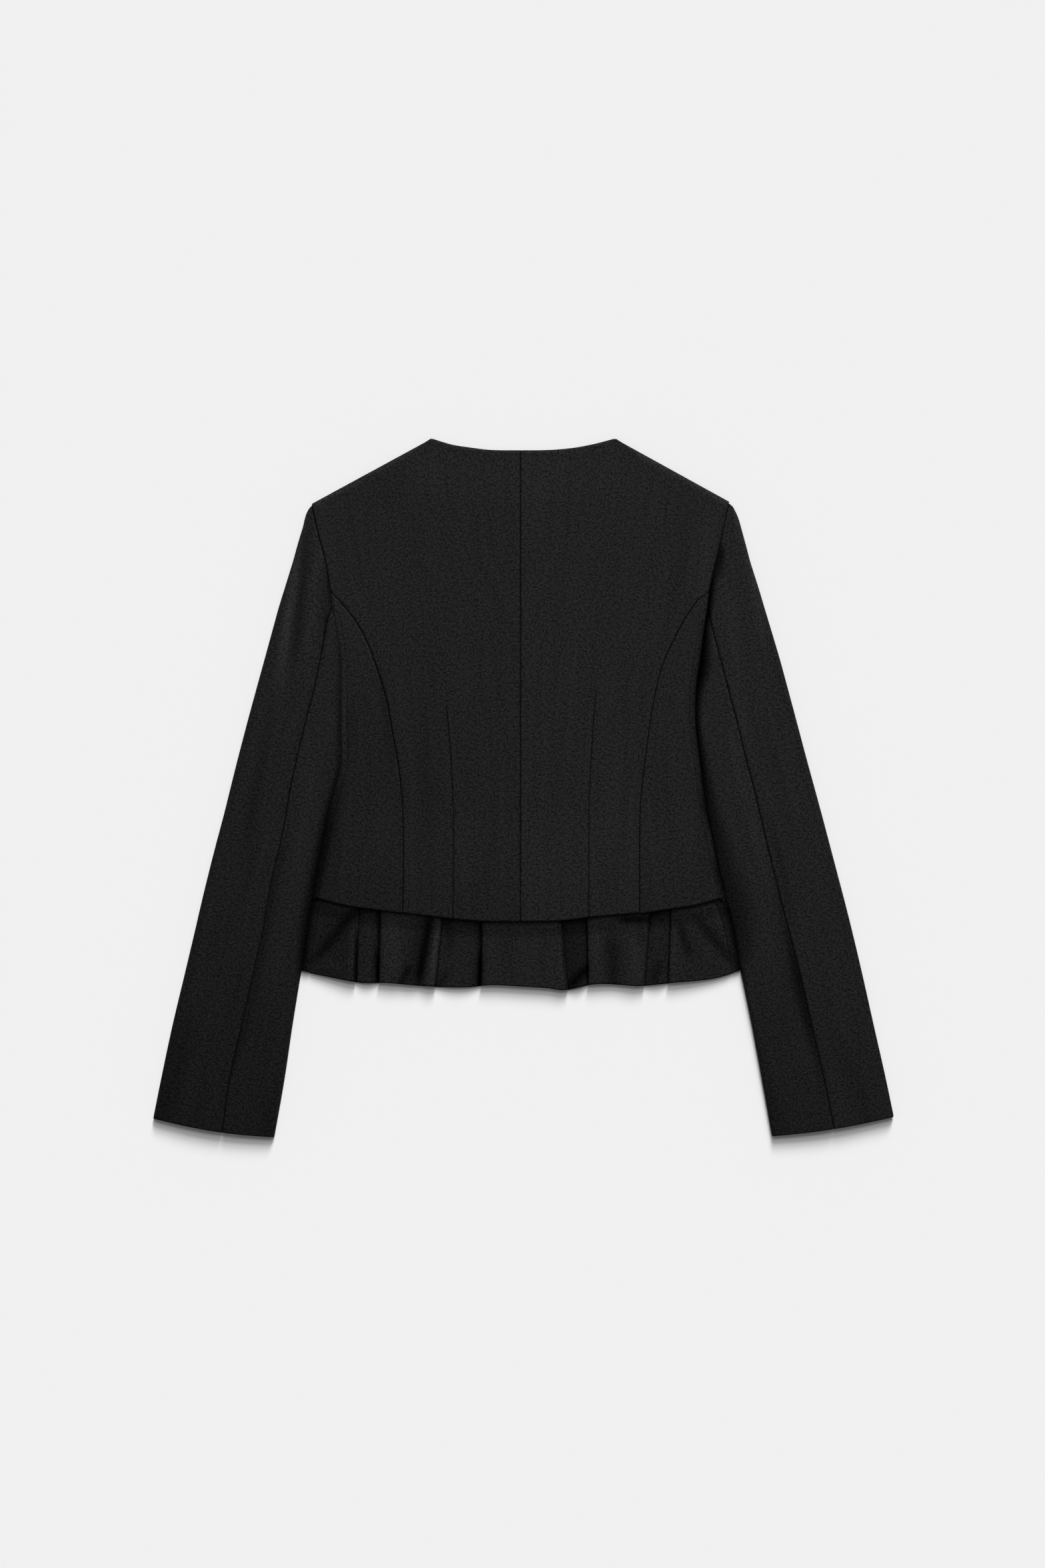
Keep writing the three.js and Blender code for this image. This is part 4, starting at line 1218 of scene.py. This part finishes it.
def panel(start, end, levels, light):
    """A panel between two folds: places across, heights, and light."""
    t = lines(36, (0.15, 0.04), (0.85, 0.96))
    x = mix(start, end, t)
    rolled = roll_in(x - start, *PANEL_ROLL) + roll_in(end - x, *PANEL_ROLL)
    return x, mix(*levels, ease(t)) - rolled, light + 0 * x


def pleat_fold(x, low, way, upwards):
    """The strip turns half round at a fold, between two layers."""
    t = np.linspace(0, 1, 9)
    t = t if upwards else t[::-1]
    across = x + way * PLEAT_TURN * (np.sin(np.pi * t) - 1)
    # A fold keeps 0.6 of the colour, as painted shade.
    return across, layer(low) + PLEAT_TURN * (1 - np.cos(np.pi * t)) + 0 * across, 0.6 + 0 * across


def underlay(start, end, fold_left, fold_right, light, shade_reach):
    """The hidden run between two panels, which stands up a little where it shows."""
    hidden = float(np.mean((fold_left - start) / (end - start)))
    t = lines(56, (0.12, hidden - 0.02), (0.34, hidden + 0.09), (0.66, 0.91 - hidden), (0.88, 1.02 - hidden))
    x = mix(start, end, t[1:-1])
    shown = np.clip((x - fold_left) / (fold_right - fold_left), 0, 1)
    # Painted shade beside both folds.
    shade = lit(x - fold_left, 0.85, 2.4, 0.2) * lit(fold_right - x, 0.9, shade_reach)
    return x, layer(0) + UNDERLAY_LIFT * np.sin(np.pi * shown), light * shade


def back_peplum():
    """The pleated strip, from its left side seam to its right one."""

    def side_at(side):
        """Where the strip ends, at the peplum's side seam."""
        edge = peplum_edge(side, peplum_down(side.sign * PEPLUM_SIDE, PEPLUM_ROWS))
        return side.sign * (edge - PEPLUM_SEAM_INSET - SEAM_GAP / 2)

    runs = []
    start, start_level = side_at(left), SIDE_LEVEL
    for n, (left_top, right_top, left_hem, right_hem) in enumerate(PLEATS):
        fold_left = mix(left_top, left_hem, PEPLUM_ROWS)
        fold_right = mix(right_top, right_hem, PEPLUM_ROWS)
        under_left, under_right = fold_left - UNDERFOLD, fold_right + UNDERFOLD
        runs += [
            panel(start, fold_left - 2 * PLEAT_TURN, (start_level, layer(2)), PANEL_LIGHT[n]),
            pleat_fold(fold_left, 1, 1, upwards=False),
            pleat_fold(under_left, 0, -1, upwards=False),
            underlay(
                under_left + 2 * PLEAT_TURN, under_right - 2 * PLEAT_TURN,
                fold_left, fold_right, UNDERLAY_LIGHT[n], UNDERLAY_SHADE[n],
            ),
            pleat_fold(under_right, 0, 1, upwards=True),
            pleat_fold(fold_right, 1, -1, upwards=True),
        ]
        start, start_level = fold_right + 2 * PLEAT_TURN, layer(2)
    runs.append(panel(start, side_at(right), (start_level, SIDE_LEVEL), PANEL_LIGHT[-1]))

    x, height, light = (np.concatenate(part, axis=1) for part in zip(*runs))
    down = peplum_down(x, PEPLUM_ROWS)
    base = mix(*PEPLUM_LIFT, below_bodice(x, down))
    soft, glow = peplum_creased(x, down)
    shows = np.clip(height - layer(0), 0, 1)  # a crease stays out of the lowest layer
    beside = np.where(x < 0, body_edge(left, down), body_edge(right, down)) - np.abs(x)
    # Painted light of the creases, and painted shadow beside the sleeves.
    light = (light + glow) * lit(beside, *SLEEVE_SHADE)
    lay("peplum_back", x, down, base + height + soft * shows, PEPLUM_WALL, light)


back_peplum()

# %% Front peplums
FRONT_LIFT = (1.7, 0)  # under the bodice hem, where it lies on the front, and at its own hem
HIDDEN_LENGTH = 0.6  # how much longer it is where it lies under the back peplum


def front_peplum(side):
    """A front peplum, from its side seam round the side and in again along the floor."""
    counts = (12, 9, 40)
    edge_down = peplum_down(side.sign * PEPLUM_SIDE, PEPLUM_ROWS)
    edge = peplum_edge(side, edge_down)

    def lower_at(x, down):
        return mix(*FRONT_LIFT, below_bodice(x, down)) + PEPLUM_WALL / 2

    x_edge = side.sign * edge
    lower = lower_at(x_edge, edge_down)
    upper = mix(*PEPLUM_LIFT, below_bodice(x_edge, edge_down)) + SIDE_LEVEL
    heights = (upper, mix(lower, upper, 0.8), lower)
    seam = edge - PEPLUM_SEAM_INSET
    out, height = folded(seam, edge, centre_out(side), heights, (2.4, 3.0), PEPLUM_WALL, counts, power=1.5)
    x = side.sign * out
    on_floor = np.arange(out.shape[1])[None, :] >= counts[0] + 2 * (counts[1] - 1)
    down = peplum_down(x, PEPLUM_ROWS) + HIDDEN_LENGTH * PEPLUM_ROWS * on_floor
    height = np.where(on_floor, lower_at(x, down), height)
    from_seam = np.where(on_floor, ELSEWHERE, np.abs(out - seam))
    soft, glow = peplum_creased(x, down)
    height = height + soft * (from_seam < 5) - roll_in(from_seam, 0.4)
    # Painted shade at the side seam and beside the sleeve.
    light = (1 + glow) * lit(from_seam, 0.2, 1.2) * np.where(on_floor, 1, lit(edge - out, *SLEEVE_SHADE))
    lay(f"peplum_front_{side.name}", x, down, height, PEPLUM_WALL, light)


for side in (left, right):
    front_peplum(side)
